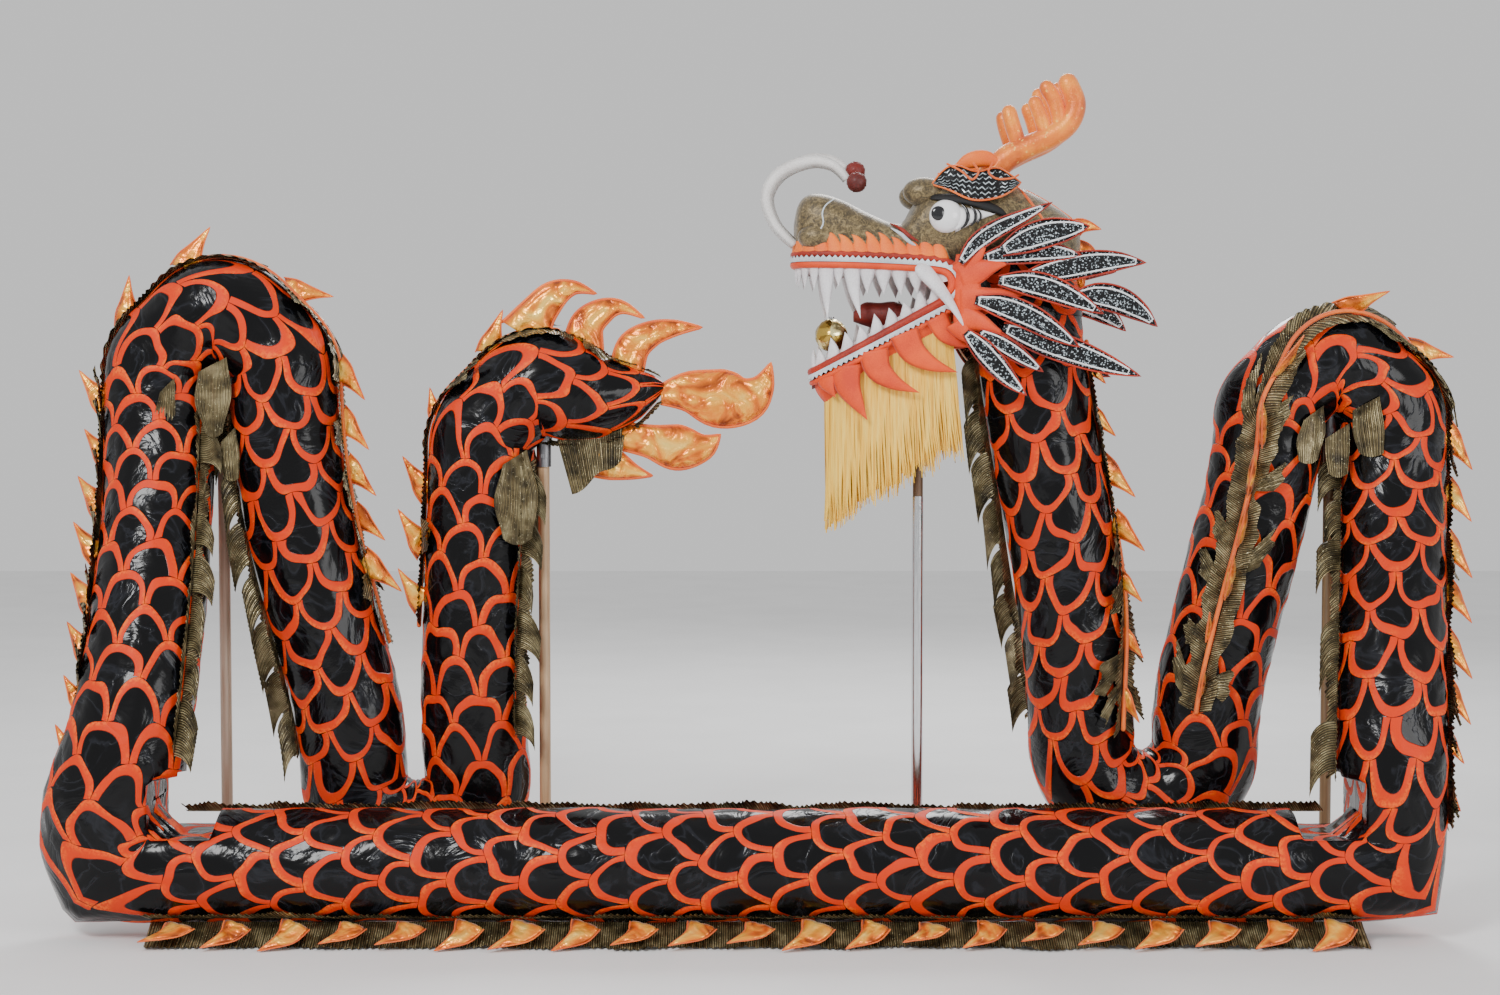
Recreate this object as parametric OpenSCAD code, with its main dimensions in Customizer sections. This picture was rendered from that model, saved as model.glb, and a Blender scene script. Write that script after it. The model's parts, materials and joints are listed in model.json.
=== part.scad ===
// Dance dragon on four poles: a hollow cloth sleeve on hoops, with a head, a pearl and a flame tail.
// Millimetres, +Z up. The origin is the foot of the head pole. The dragon lies along X, and the side
// that is looked at faces -Y.

/* [Body sleeve] */
// Outer radius of the cloth sleeve
sleeve_r = 118; // [114:1:119]
// Thickness of the sleeve's lined cloth
sleeve_wall = 3; // [2:0.5:4]
// Centreline radius of every crown, trough and elbow
bend_r = 136; // [136:1:138]
// Radius of the hoops' rod
hoop_rod_r = 4; // [3:0.5:5]

/* [Places along the floor] */
// Right arch pole, from the head pole
right_pole_x = 906; // [900:1:912]
// Left arch pole, from the head pole
left_pole_x = -1530; // [-1536:1:-1524]
// Tail pole, from the head pole
tail_pole_x = -824; // [-828:1:-820]
// Middle of the right trough
right_trough_x = 500; // [496:1:504]
// Middle of the left trough
left_trough_x = -1110; // [-1114:1:-1106]
// Floor run's distance in front of the poles
floor_run_y = -300; // [-310:1:-298]
// Height of the floor run's centreline
floor_run_z = 148; // [146:1:150]

/* [Heights of the bends' centres] */
// Right crown
right_crown_z = 1070; // [1050:1:1090]
// Left crown
left_crown_z = 1172; // [1150:1:1190]
// Right trough
right_trough_z = 360; // [350:1:370]
// Left trough
left_trough_z = 290; // [286:1:300]
// Tail elbow
tail_elbow_z = 1014; // [1004:1:1024]

/* [Poles] */
// Radius of the wooden and chrome poles
pole_r = 12.5; // [12:0.5:12.5]
// Radius of the head pole's wooden shaft, which fits inside its chrome tube
shaft_r = 11.2; // [11:0.1:11.2]
// Radius of a rubber end cap
cap_r = 16.5; // [16:0.5:20]
// Height of a rubber end cap
cap_h = 45; // [40:1:60]

/* [Trimmings] */
// Length of a thorn fin along the back
fin_length = 74; // [60:1:80]
// Height of a thorn fin
fin_height = 78; // [60:1:84]
// Thickness of a padded thorn fin
fin_thick = 12; // [8:1:14]
// Radius of the pearl in the mouth
pearl_r = 37; // [30:1:37]

/* [Hidden] */

$fn = 48;
gap = 1;                          // seam gap between two sleeves
fit = 0.05;                       // radial clearance of a running fit
sleeve_sides = 20;
inner_bend_r = bend_r - sleeve_r; // free radius inside a bend, where a pole stands
hoop_r = sleeve_r - sleeve_wall - hoop_rod_r - 4.5;
socket_r = inner_bend_r - 2;
slot_r = inner_bend_r + 2;        // opening in the sleeve round a pole
cap_floor = 10;
corner_top_z = 300;               // where a leg ends and its corner begins
corner_run = 152;                 // length of floor run that belongs to a corner
black_cloth = [0.08, 0.07, 0.07];
orange = [0.95, 0.33, 0.06];
gold = [0.93, 0.62, 0.18];
lame = [0.55, 0.46, 0.28];

// ---------------------------------------------------------------- centrelines, from head to tail
right_corner_x = 962;
left_corner_x = -1676;
neck_line = [
    [240, 0, 1318],
    [250, 0, 1040],
    [right_trough_x - bend_r, 0, 700],
    [right_trough_x - bend_r, 0, right_trough_z]
];
neck_split = 0.34;                // share of the neck that turns with the head
right_rise_line = [
    [right_trough_x + bend_r, 0, right_trough_z],
    [right_trough_x + bend_r, 0, right_trough_z + 200],
    [right_pole_x - bend_r, 0, right_crown_z - 190],
    [right_pole_x - bend_r, 0, right_crown_z]
];
right_fall_line = [
    [right_pole_x + bend_r, 0, right_crown_z],
    [right_pole_x + bend_r, 0, 800],
    [right_corner_x, floor_run_y, 560],
    [right_corner_x, floor_run_y, corner_top_z]
];
left_rise_line = [
    [left_corner_x, floor_run_y, corner_top_z],
    [left_corner_x + 56, floor_run_y, 600],
    [left_pole_x - bend_r - 2, 0, 880],
    [left_pole_x - bend_r, 0, left_crown_z]
];
left_fall_line = [
    [left_pole_x + bend_r, 0, left_crown_z],
    [left_pole_x + bend_r, 0, 760],
    [left_trough_x - bend_r - 6, 0, 560],
    [left_trough_x - bend_r, 0, left_trough_z]
];
tail_rise_line = [
    [left_trough_x + bend_r, 0, left_trough_z],
    [left_trough_x + bend_r - 24, 0, 520],
    [tail_pole_x - bend_r, 0, 780],
    [tail_pole_x - bend_r, 0, tail_elbow_z]
];

function unit(v) = v / norm(v);
function bezier(c, t) =
    pow(1 - t, 3) * c[0] + 3 * t * pow(1 - t, 2) * c[1] + 3 * t * t * (1 - t) * c[2] + pow(t, 3) * c[3];
function slope(c, t) = unit(bezier(c, t + 0.005) - bezier(c, t - 0.005));
function stretch(c, from, to, steps) = [for (i = [0:steps]) bezier(c, from + (to - from) * i / steps)];
// Share of a leg's length that one seam gap takes
function gap_share(c) = gap / norm(c[3] - c[0]);
function whole_leg(c, steps) = stretch(c, gap_share(c), 1 - gap_share(c), steps);

// The back's direction at a point of the centreline, turned round the sleeve by twist degrees
function back(t, twist) =
    let (b = unit(cross(t, [0, 1, 0])), side = cross(t, b)) b * cos(twist) + side * sin(twist);
function path_slope(p, i) =
    let (last = len(p) - 1)
    i == 0 ? unit(p[1] - p[0])
    : i == last ? unit(p[last] - p[last - 1])
    : unit(unit(p[i + 1] - p[i]) + unit(p[i] - p[i - 1]));
// A ring in a mitre plane is longer across the bend than the sleeve's own radius
function mitre(p, i) =
    i == 0 || i == len(p) - 1 ? 1 : 1 / (path_slope(p, i) * unit(p[i + 1] - p[i]));
// ends holds the directions square to the first and last ring, or is empty for the path's own
function ring_slope(p, i, ends) =
    len(ends) == 0 || (i > 0 && i < len(p) - 1) ? path_slope(p, i)
    : i == 0 ? ends[0]
    : ends[1];
function ring(p, i, r, ends) =
    let (t = ring_slope(p, i, ends), b = back(t, 0), side = cross(t, b), k = mitre(p, i))
    [for (j = [0:sleeve_sides - 1])
        let (a = 360 * j / sleeve_sides) p[i] + r * (k * cos(a) * b + sin(a) * side)];
function flat_list(rings) = [for (one = rings) for (point = one) point];

// ---------------------------------------------------------------- shared shapes
// A hollow sleeve along a path
module sleeve(p, ends = []) {
    last = len(p) - 1;
    rings = concat(
        [for (i = [0:last]) ring(p, i, sleeve_r, ends)],
        [for (i = [last:-1:0]) ring(p, i, sleeve_r - sleeve_wall, ends)]
    );
    n = len(rings);
    s = sleeve_sides;
    polyhedron(
        points = flat_list(rings),
        faces = [for (i = [0:n - 1]) for (k = [0:s - 1]) for (half = [0, 1])
            let (
                a = i * s + k,
                b = i * s + (k + 1) % s,
                c = ((i + 1) % n) * s + (k + 1) % s,
                d = ((i + 1) % n) * s + k
            )
            half == 0 ? [a, c, b] : [a, d, c]],
        convexity = 8
    );
}
up = [0, 0, 1];
// A whole leg, cut square at both ends to meet its bends
module leg_sleeve(line, way, steps) { sleeve(whole_leg(line, steps), [way, way]); }
// A solid band along a path: half_side is its half width, low and high are its heights above the
// centreline on the back's side
module band(p, twist, low, high, half_side) {
    last = len(p) - 1;
    corners = [[low, -half_side], [high, -half_side], [high, half_side], [low, half_side]];
    rings = [for (i = [0:last])
        let (t = path_slope(p, i), b = back(t, twist), side = cross(t, b))
        [for (q = corners) p[i] + q[0] * b + q[1] * side]];
    walls = [for (i = [0:last - 1]) for (k = [0:3]) for (half = [0, 1])
        let (a = 4 * i + k, b = 4 * i + (k + 1) % 4, c = b + 4, d = a + 4)
        half == 0 ? [a, c, b] : [a, d, c]];
    end = 4 * last;
    ends = [[0, 1, 2], [0, 2, 3], [end + 2, end + 1, end], [end + 3, end + 2, end]];
    polyhedron(points = flat_list(rings), faces = concat(walls, ends), convexity = 4);
}
// Puts its children at a point of the centreline: X along the sleeve towards the tail, Y out of the back
module on_back(point, t, twist) {
    b = back(t, twist);
    side = cross(t, b);
    multmatrix([
        [t[0], b[0], side[0], point[0]],
        [t[1], b[1], side[1], point[1]],
        [t[2], b[2], side[2], point[2]],
        [0, 0, 0, 1]
    ])
        children();
}
module rod(from, to, r) {
    along = to - from;
    translate(from)
        rotate([0, acos(along[2] / norm(along)), atan2(along[1], along[0])])
            cylinder(h = norm(along), r = r);
}
module hoop(point, t) {
    translate(point)
        rotate([0, acos(t[2]), atan2(t[1], t[0])])
            rotate_extrude()
                translate([hoop_r, 0])
                    circle(r = hoop_rod_r, $fn = 24);
}
module leg_hoops(line, from, to, count) {
    for (i = [0:count - 1]) {
        share = from + (to - from) * i / (count - 1);
        hoop(bezier(line, share), slope(line, share));
    }
}
// One padded thorn, with its tip leaning towards the tail
module thorn(size = 1) {
    outline = [
        [-0.5, 0],
        [-0.4, 0.24],
        [-0.14, 0.56],
        [0.3, 0.92],
        [0.54, 1],
        [0.46, 0.7],
        [0.44, 0.36],
        [0.5, 0]
    ];
    translate([0, 0, -fin_thick / 2])
        linear_extrude(height = fin_thick)
            polygon([for (q = outline) [q[0] * fin_length * size, q[1] * fin_height * size]]);
}
// Height above the centreline at which trimmings start, clear of the sleeve
trim_base = sleeve_r + 4;
module leg_fins(line, from, to, count, twist = 0, size = 1) {
    for (i = [0:count - 1]) {
        share = from + (to - from) * i / (count - 1);
        t = slope(line, share);
        on_back(bezier(line, share), t, twist)
            translate([0, trim_base, 0])
                thorn(size);
    }
}
// Fins over a crown or elbow, at the given angles from its start
module crown_fins(x, z, angles) {
    for (a = angles)
        translate([x, 0, z])
            rotate([0, a - 90, 0])
                translate([0, 0, bend_r + trim_base])
                    rotate([90, 0, 0])
                        thorn();
}
// Pleated ruffle beside the row of fins: two bands, one on each side of the fins
module leg_ruffle(line, from, to, twist = 0, steps = 6) {
    p = stretch(line, from, to, steps);
    for (turn = [-9, 9])
        band(p, twist + turn, trim_base, trim_base + 26, 4);
}
module belly_ruffle(line, from, to, twist = 180, steps = 6) {
    band(stretch(line, from, to, steps), twist, trim_base, trim_base + 30, 5);
}
module crown_ruffle(x, z, from, to) {
    translate([x, 0, z])
        rotate([90, 180 + from, 0])
            for (side = [-1, 1])
                rotate_extrude(angle = -(to - from))
                    translate([bend_r + trim_base, side * 16 - 4])
                        square([24, 8]);
}
// A sleeve bent round a pole or a notch, in a plane square to Y. The angles run from the head end.
module bent_sleeve(from, to) {
    rotate([90, 0, 0])
        rotate([0, 0, 180 - to])
            rotate_extrude(angle = to - from)
                translate([bend_r, 0])
                    difference() {
                        circle(r = sleeve_r);
                        circle(r = sleeve_r - sleeve_wall);
                    }
}
end_angle = 0.4;                  // degrees of a bend that one seam gap takes
module trough(x, z) {
    color(black_cloth)
        translate([x, 0, z])
            mirror([0, 0, 1])
                bent_sleeve(end_angle, 180 - end_angle);
}
module crown(x, z) {
    translate([x, 0, z])
        difference() {
            bent_sleeve(end_angle, 180 - end_angle);
            translate([0, 0, -1])
                cylinder(h = inner_bend_r + 40, r = slot_r);
        }
}
// Hoop rod's saddle with the pole's socket under it, and the cross bolt with its nut
ring_low = bend_r - hoop_r;       // height of the hoop's lowest point above the bend's centre
socket_low = -44;
bolt_z = -20;
pole_top = 8;
bolt_r = 2.5;
module bracket() {
    difference() {
        union() {
            translate([0, 0, socket_low])
                cylinder(h = pole_top + 6 - socket_low, r = socket_r);
            translate([-13, -15, pole_top + 6])
                cube([26, 30, ring_low + 10 - pole_top - 6]);
        }
        translate([0, 0, socket_low - 1])
            cylinder(h = pole_top + 2 - socket_low, r = pole_r + fit);
        translate([0, 30, ring_low])
            rotate([90, 0, 0])
                cylinder(h = 60, r = hoop_rod_r + 1.6);
        bolt_hole();
    }
    bolt();
}
module bolt_hole() {
    translate([0, 30, bolt_z])
        rotate([90, 0, 0])
            cylinder(h = 60, r = bolt_r + 0.1);
}
module bolt(reach = socket_r) {
    translate([0, reach + 3.5, bolt_z])
        rotate([90, 0, 0]) {
            cylinder(h = 2 * reach + 7, r = bolt_r);
            cylinder(h = 3, r = 5, $fn = 6);
            translate([0, 0, 2 * reach + 4])
                cylinder(h = 3, r = 5);
        }
}
module pole(x, top) {
    translate([x, 0, 0])
        difference() {
            translate([0, 0, cap_floor + 0.1])
                cylinder(h = top + pole_top - cap_floor - 0.1, r = pole_r);
            translate([0, 0, top])
                bolt_hole();
        }
}
module pole_cap(x) {
    color([0.12, 0.12, 0.12])
        translate([x, 0, 0])
            difference() {
                cylinder(h = cap_h, r = cap_r);
                translate([0, 0, cap_floor])
                    cylinder(h = cap_h, r = pole_r + fit);
            }
}
module corner(x, way) {
    color(black_cloth)
        sleeve([
            [x, floor_run_y, corner_top_z - gap],
            [x, floor_run_y, floor_run_z + 46],
            [x - way * 46, floor_run_y, floor_run_z],
            [x - way * (corner_run - gap), floor_run_y, floor_run_z]
        ]);
}

// ---------------------------------------------------------------- floor run
floor_left = left_corner_x + corner_run;
floor_right = right_corner_x - corner_run;
module floor_sleeve() {
    color(black_cloth)
        translate([floor_left, floor_run_y, floor_run_z])
            rotate([0, 90, 0])
                difference() {
                    cylinder(h = floor_right - floor_left, r = sleeve_r);
                    translate([0, 0, -1])
                        cylinder(h = floor_right - floor_left + 2, r = sleeve_r - sleeve_wall);
                }
}
module floor_hoops() {
    count = 7;
    inset = 60;
    pitch = (floor_right - floor_left - 2 * inset) / (count - 1);
    color("silver")
        for (i = [0:count - 1])
            hoop([floor_left + inset + pitch * i, floor_run_y, floor_run_z], [1, 0, 0]);
}
// Squashed back ruffle between the floor and the sleeve, which the run rests on
ruffle_front = floor_run_y - 98;
module floor_ruffle() {
    color(lame)
        translate([floor_left - 60, 0, 0])
            rotate([90, 0, 90])
                linear_extrude(height = floor_right - floor_left + 120)
                    polygon([
                        [ruffle_front, 0],
                        [floor_run_y + 50, 0],
                        [floor_run_y + 50, 24],
                        [floor_run_y - 34, 26],
                        [floor_run_y - 72, 40],
                        [ruffle_front, 14]
                    ]);
}
floor_fin_count = 21;
module floor_fins() {
    pitch = (floor_right - floor_left - 40) / (floor_fin_count - 1);
    color(gold)
        for (i = [0:floor_fin_count - 1])
            translate([floor_right - 20 - pitch * i, ruffle_front - 1, fin_thick / 2])
                rotate([0, 0, 180])
                    thorn(0.92);
}
// Gathered trim along the belly seam, which lies on top of the floor run at its back
module floor_seam_trim() {
    color(lame)
        band(
            [[floor_right, floor_run_y, floor_run_z], [floor_left, floor_run_y, floor_run_z]],
            180, trim_base, trim_base + 20, 6
        );
}

// ---------------------------------------------------------------- right arch
module right_corner_sleeve() { corner(right_corner_x, 1); }
module right_arch_sleeve() {
    color(black_cloth) {
        crown(right_pole_x, right_crown_z);
        leg_sleeve(right_rise_line, up, 6);
        leg_sleeve(right_fall_line, -up, 8);
    }
}
module right_arch_hoops() {
    color("silver") {
        leg_hoops(right_rise_line, 0.15, 0.9, 3);
        leg_hoops(right_fall_line, 0.1, 0.9, 4);
        hoop([right_pole_x, 0, right_crown_z + bend_r], [1, 0, 0]);
    }
}
module right_arch_bracket() {
    color("gray")
        translate([right_pole_x, 0, right_crown_z])
            bracket();
}
module right_pole() { color("peru") pole(right_pole_x, right_crown_z); }
module right_pole_cap() { pole_cap(right_pole_x); }
right_rise_twist = 68;            // the right rise shows its back to the front
module right_arch_fins() {
    color(gold) {
        leg_fins(right_rise_line, 0.34, 0.86, 4, right_rise_twist, 0.8);
        leg_fins(right_fall_line, 0.06, 0.9, 6);
        crown_fins(right_pole_x, right_crown_z, [35, 85, 135]);
    }
}
module right_arch_ruffles() {
    color(lame) {
        leg_ruffle(right_rise_line, 0.3, 0.95, right_rise_twist);
        leg_ruffle(right_fall_line, 0.03, 0.95);
        belly_ruffle(right_rise_line, 0.3, 0.6);
        belly_ruffle(right_fall_line, 0.35, 0.9);
        crown_ruffle(right_pole_x, right_crown_z, 25, 175);
    }
}

// ---------------------------------------------------------------- neck
module right_trough_sleeve() { trough(right_trough_x, right_trough_z); }
module neck_sleeve() {
    color(black_cloth)
        sleeve(
            stretch(neck_line, neck_split + gap_share(neck_line), 1 - gap_share(neck_line), 6),
            [slope(neck_line, neck_split), -up]
        );
}
module neck_hoops() { color("silver") leg_hoops(neck_line, neck_split + 0.04, 0.9, 4); }
module neck_fins() { color(gold) leg_fins(neck_line, neck_split + 0.07, 0.68, 3); }
module neck_ruffles() {
    color(lame) {
        leg_ruffle(neck_line, neck_split + 0.02, 0.8);
        belly_ruffle(neck_line, neck_split + 0.08, 0.85);
    }
}

// ---------------------------------------------------------------- head
head_bolt_z = 1160;
head_pole_top = 1220;
tube_top = 905;
module neck_top_sleeve() {
    color(black_cloth)
        sleeve(stretch(neck_line, 0, neck_split - gap_share(neck_line), 4));
}
module head_pole_shaft() {
    color("saddlebrown")
        difference() {
            translate([0, 0, tube_top - 60])
                cylinder(h = head_pole_top - tube_top + 60, r = shaft_r);
            translate([0, 0, head_bolt_z - bolt_z])
                bolt_hole();
            translate([0, 0, tube_top - 25 - bolt_z])
                bolt_hole();
        }
}
module head_pole_tube() {
    color("silver") {
        difference() {
            translate([0, 0, cap_floor + 0.1])
                cylinder(h = tube_top - cap_floor - 0.1, r = pole_r);
            cylinder(h = tube_top + 1, r = shaft_r + fit);
            translate([0, 0, tube_top - 25 - bolt_z])
                bolt_hole();
        }
        translate([0, 0, tube_top - 25 - bolt_z])
            bolt(pole_r);
    }
}
module head_pole_cap() { pole_cap(0); }
// Pole socket, cane bars, collar hoop and tongue pin
tongue_pin = [22, 0, 1288];
pin_r = 3;
jaw_inside = 60;                  // half width between the lower jaw's walls
module head_frame() {
    collar = neck_line[0];
    color("burlywood") {
        difference() {
            union() {
                translate([0, 0, head_bolt_z - 26])
                    cylinder(h = head_pole_top + 12 - head_bolt_z + 26, r = 17);
                translate([-24, -50, head_pole_top + 2])
                    cube([48, 100, 12]);
            }
            translate([0, 0, head_bolt_z - 30])
                cylinder(h = head_pole_top - head_bolt_z + 32, r = shaft_r + fit);
            translate([0, 0, head_bolt_z - bolt_z])
                bolt_hole();
        }
        translate([0, 0, head_bolt_z - bolt_z])
            bolt(17);
        for (side = [-1, 1])
            rod([14, side * 44, head_pole_top + 19], collar + [-86, side * 62, 18], 5);
        hoop(collar + [0, 0, 18], [0, 0, 1]);
        translate(tongue_pin + [0, jaw_inside - 1, 0])
            rotate([90, 0, 0])
                cylinder(h = 2 * jaw_inside - 2, r = pin_r);
    }
}
skull_wall = 6;
eye_r = 34;
function eye_at(side) = [56, side * 101, 1502];
// Cranium with nape, then snout. grow is taken off every radius for the hollow inside.
module skull_form(grow) {
    hull() {
        translate([112, 0, 1478])
            scale([1, 0.9, 1])
                sphere(r = 126 - grow, $fn = 32);
        translate([268, 0, 1462])
            sphere(r = 84 - grow, $fn = 32);
    }
    hull() {
        translate([60, 0, 1462])
            scale([1, 1.25, 1])
                sphere(r = 72 - grow, $fn = 32);
        for (side = [-1, 1])
            translate([-214, side * 28, 1500])
                sphere(r = 60 - grow, $fn = 32);
    }
}
module skull() {
    color([0.45, 0.36, 0.18])
        difference() {
            skull_form(0);
            skull_form(skull_wall);
            for (side = [-1, 1])
                translate(eye_at(side) + [0, side * 20, 0])
                    rotate([90, 0, 0])
                        cylinder(h = 56, r = eye_r + 0.4, center = true);
            // Open neck and palate
            translate([110, -90, 1300])
                cube([190, 180, 110]);
            translate([-190, -34, 1380])
                cube([220, 68, 60]);
        }
}
jaw_outline = [
    [-238, 1146],
    [-236, 1160],
    [44, 1298],
    [104, 1296],
    [118, 1240],
    [40, 1196],
    [-70, 1142],
    [-160, 1116],
    [-220, 1122]
];
module lower_jaw() {
    color("orangered")
        difference() {
            translate([0, 72, 0])
                rotate([90, 0, 0])
                    linear_extrude(height = 144)
                        polygon(jaw_outline);
            translate([0, jaw_inside, 0])
                rotate([90, 0, 0])
                    linear_extrude(height = 2 * jaw_inside)
                        polygon([[-214, 1140], [-225, 1400], [200, 1400], [200, 1262],
                            [40, 1220], [-70, 1166], [-160, 1136]]);
            translate([0, 0, 1100])
                cylinder(h = 200, r = 20);
        }
}
// Half-oval rim of a lip: back_x and tip_x are its ends, half its half width
function lip_rim(back_x, tip_x, back_z, tip_z, half, a) =
    [back_x + (tip_x - back_x) * sin(a), half * cos(a), back_z + (tip_z - back_z) * sin(a)];
function upper_rim(a) = lip_rim(54, -268, 1378, 1418, 88, a);
function lower_rim(a) = lip_rim(52, -236, 1312, 1176, 72, a);
lip_steps = 14;
module lip(side_points, r) {
    for (i = [0:len(side_points) - 2])
        hull() {
            translate(side_points[i]) sphere(r = r, $fn = 12);
            translate(side_points[i + 1]) sphere(r = r, $fn = 12);
        }
}
module lip_rolls() {
    color("orangered") {
        lip([for (i = [0:lip_steps]) upper_rim(180 * i / lip_steps) + [0, 0, 6]], 10);
        lip([for (i = [0:lip_steps]) lower_rim(180 * i / lip_steps)], 8);
    }
}
module tooth(base, h, r) { translate(base) cylinder(h = h, r1 = r, r2 = 0.8); }
module upper_teeth() {
    color("white")
        for (i = [0:16]) {
            a = 14 + 152 * i / 16;
            long = i % 8 == 2 || i % 8 == 6;
            translate(upper_rim(a) + [0, 0, -6])
                mirror([0, 0, 1])
                    tooth([0, 0, 0], long ? 62 : 26, long ? 11 : 7);
        }
}
module lower_teeth() {
    color("white")
        for (i = [0:14]) {
            a = 20 + 140 * i / 14;
            tooth(lower_rim(a) + [0, 0, 12.5], 22, 6);
        }
}
module tongue() {
    color([0.45, 0.05, 0.05])
        difference() {
            translate([0, 28, 0])
                rotate([90, 0, 0])
                    linear_extrude(height = 56)
                        polygon([[34, 1300], [-30, 1324], [-100, 1336], [-138, 1320],
                            [-146, 1292], [-118, 1288], [-70, 1268], [-10, 1266], [34, 1276]]);
            translate(tongue_pin + [0, 30, 0])
                rotate([90, 0, 0])
                    cylinder(h = 60, r = pin_r + fit);
        }
}
// The pearl spins on an upright wire between a collar and a cap
pearl_at = [-191, 0, 1258];
module pearl() {
    color("gold")
        translate(pearl_at)
            difference() {
                sphere(r = pearl_r);
                translate([0, 0, -50])
                    cylinder(h = 100, r = pin_r + fit);
            }
}
module pearl_spindle() {
    foot_z = 1139;
    top_z = pearl_at[2] + pearl_r + 4;
    color("silver")
        translate([pearl_at[0], 0, 0]) {
            translate([0, 0, foot_z])
                cylinder(h = top_z - foot_z, r = pin_r);
            translate([0, 0, foot_z])
                cylinder(h = 3, r = 12);
            translate([0, 0, pearl_at[2] - pearl_r - 4])
                cylinder(h = 3.5, r = 6);
            translate([0, 0, pearl_at[2] + pearl_r + 0.5])
                cylinder(h = 3.5, r = 6);
        }
}
module eyes() {
    color("white")
        for (side = [-1, 1])
            translate(eye_at(side))
                intersection() {
                    sphere(r = eye_r);
                    translate([-40, side * 40 - 39, -40])
                        cube([80, 78, 80]);
                }
}
module side_plate(side, inner, thick, outline) {
    translate([0, side > 0 ? inner + thick : -inner, 0])
        rotate([90, 0, 0])
            linear_extrude(height = thick)
                polygon(outline);
}
module brows() {
    color(black_cloth)
        for (side = [-1, 1])
            side_plate(side, 116, 10, [[22, 1546], [30, 1592], [60, 1620], [126, 1626],
                [202, 1602], [216, 1570], [180, 1546], [126, 1558], [66, 1564]]);
}
horn_spine = [[170, 1606], [230, 1640], [290, 1664], [334, 1700], [350, 1748], [320, 1808]];
horn_radii = [26, 22, 22, 22, 19, 14];
module horn_part(side, p, q, rp, rq) {
    hull() {
        translate([p[0], side * 62, p[1]]) sphere(r = rp, $fn = 16);
        translate([q[0], side * (62 + 0.1 * (q[0] - p[0])), q[1]]) sphere(r = rq, $fn = 16);
    }
}
module horns() {
    color("orange")
        for (side = [-1, 1]) {
            for (i = [0:len(horn_spine) - 2])
                horn_part(side, horn_spine[i], horn_spine[i + 1], horn_radii[i], horn_radii[i + 1]);
            horn_part(side, [306, 1676], [270, 1796], 16, 11);
            horn_part(side, [254, 1650], [242, 1764], 15, 10);
        }
}
// One leaf of the cheek fan, splayed away from the head
module leaf(side, root, tip, width, lift) {
    along = tip - root;
    long = norm(along);
    thick = 6;
    translate([root[0], side * (128 + lift), root[1]])
        rotate([0, 0, side * 14])
            rotate([90, -atan2(along[1], along[0]), 0])
                translate([0, 0, -thick / 2])
                    linear_extrude(height = thick)
                        polygon([
                            [0, -width * 0.3],
                            [long * 0.35, -width * 0.5],
                            [long * 0.75, -width * 0.4],
                            [long * 1.03, 0],
                            [long * 0.75, width * 0.4],
                            [long * 0.35, width * 0.5],
                            [0, width * 0.3]
                        ]);
}
leaf_roots = [[150, 1440], [136, 1408], [130, 1372], [134, 1330], [140, 1300], [110, 1270]];
leaf_tips = [[340, 1496], [456, 1410], [430, 1340], [480, 1276], [448, 1172], [206, 1126]];
module cheek_fins() {
    color([0.2, 0.2, 0.22])
        for (side = [-1, 1])
            for (i = [0:len(leaf_tips) - 1])
                leaf(side, leaf_roots[i], leaf_tips[i], 66, i * 8);
}
module cheek_flames() {
    color(orange)
        for (side = [-1, 1])
            side_plate(side, 116, 6, [[60, 1440], [96, 1400], [66, 1330], [60, 1262],
                [110, 1236], [134, 1252], [190, 1256], [150, 1300], [214, 1320], [164, 1352],
                [226, 1380], [172, 1402], [206, 1440], [150, 1432], [140, 1466], [108, 1440]]);
}
// Hair in three curtains: one under each side of the jaw and one under its tip
module beard() {
    side_hair = [[-190, 1110], [-60, 1136], [60, 1180], [96, 1200], [110, 980], [54, 1002],
        [-2, 966], [-46, 918], [-120, 886], [-150, 864], [-214, 846]];
    color("khaki") {
        for (side = [-1, 1])
            side_plate(side, 34, 22, side_hair);
        translate([-232, -32, 846])
            cube([30, 64, 262]);
    }
}
module nape_crest() {
    color(gold)
        for (i = [0:2])
            translate([268, 0, 1462])
                rotate([0, 44 + 34 * i, 0])
                    translate([0, 0, 88])
                        rotate([90, 0, 0])
                            thorn(0.62);
}
feeler_line = [[-284, 1452], [-322, 1500], [-334, 1560], [-304, 1612], [-240, 1646],
    [-190, 1644], [-160, 1626]];
module feeler(side, drop) {
    count = len(feeler_line);
    points = [for (i = [0:count - 1])
        [feeler_line[i][0], side * 34, feeler_line[i][1] - drop * i / (count - 1)]];
    color("white")
        band(points, 0, -1, 1, 12);
    color("darkred")
        translate(points[count - 1] + [23, 0, -8])
            sphere(r = 21);
}
module feeler_left() { feeler(-1, 30); }
module feeler_right() { feeler(1, 0); }

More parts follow.
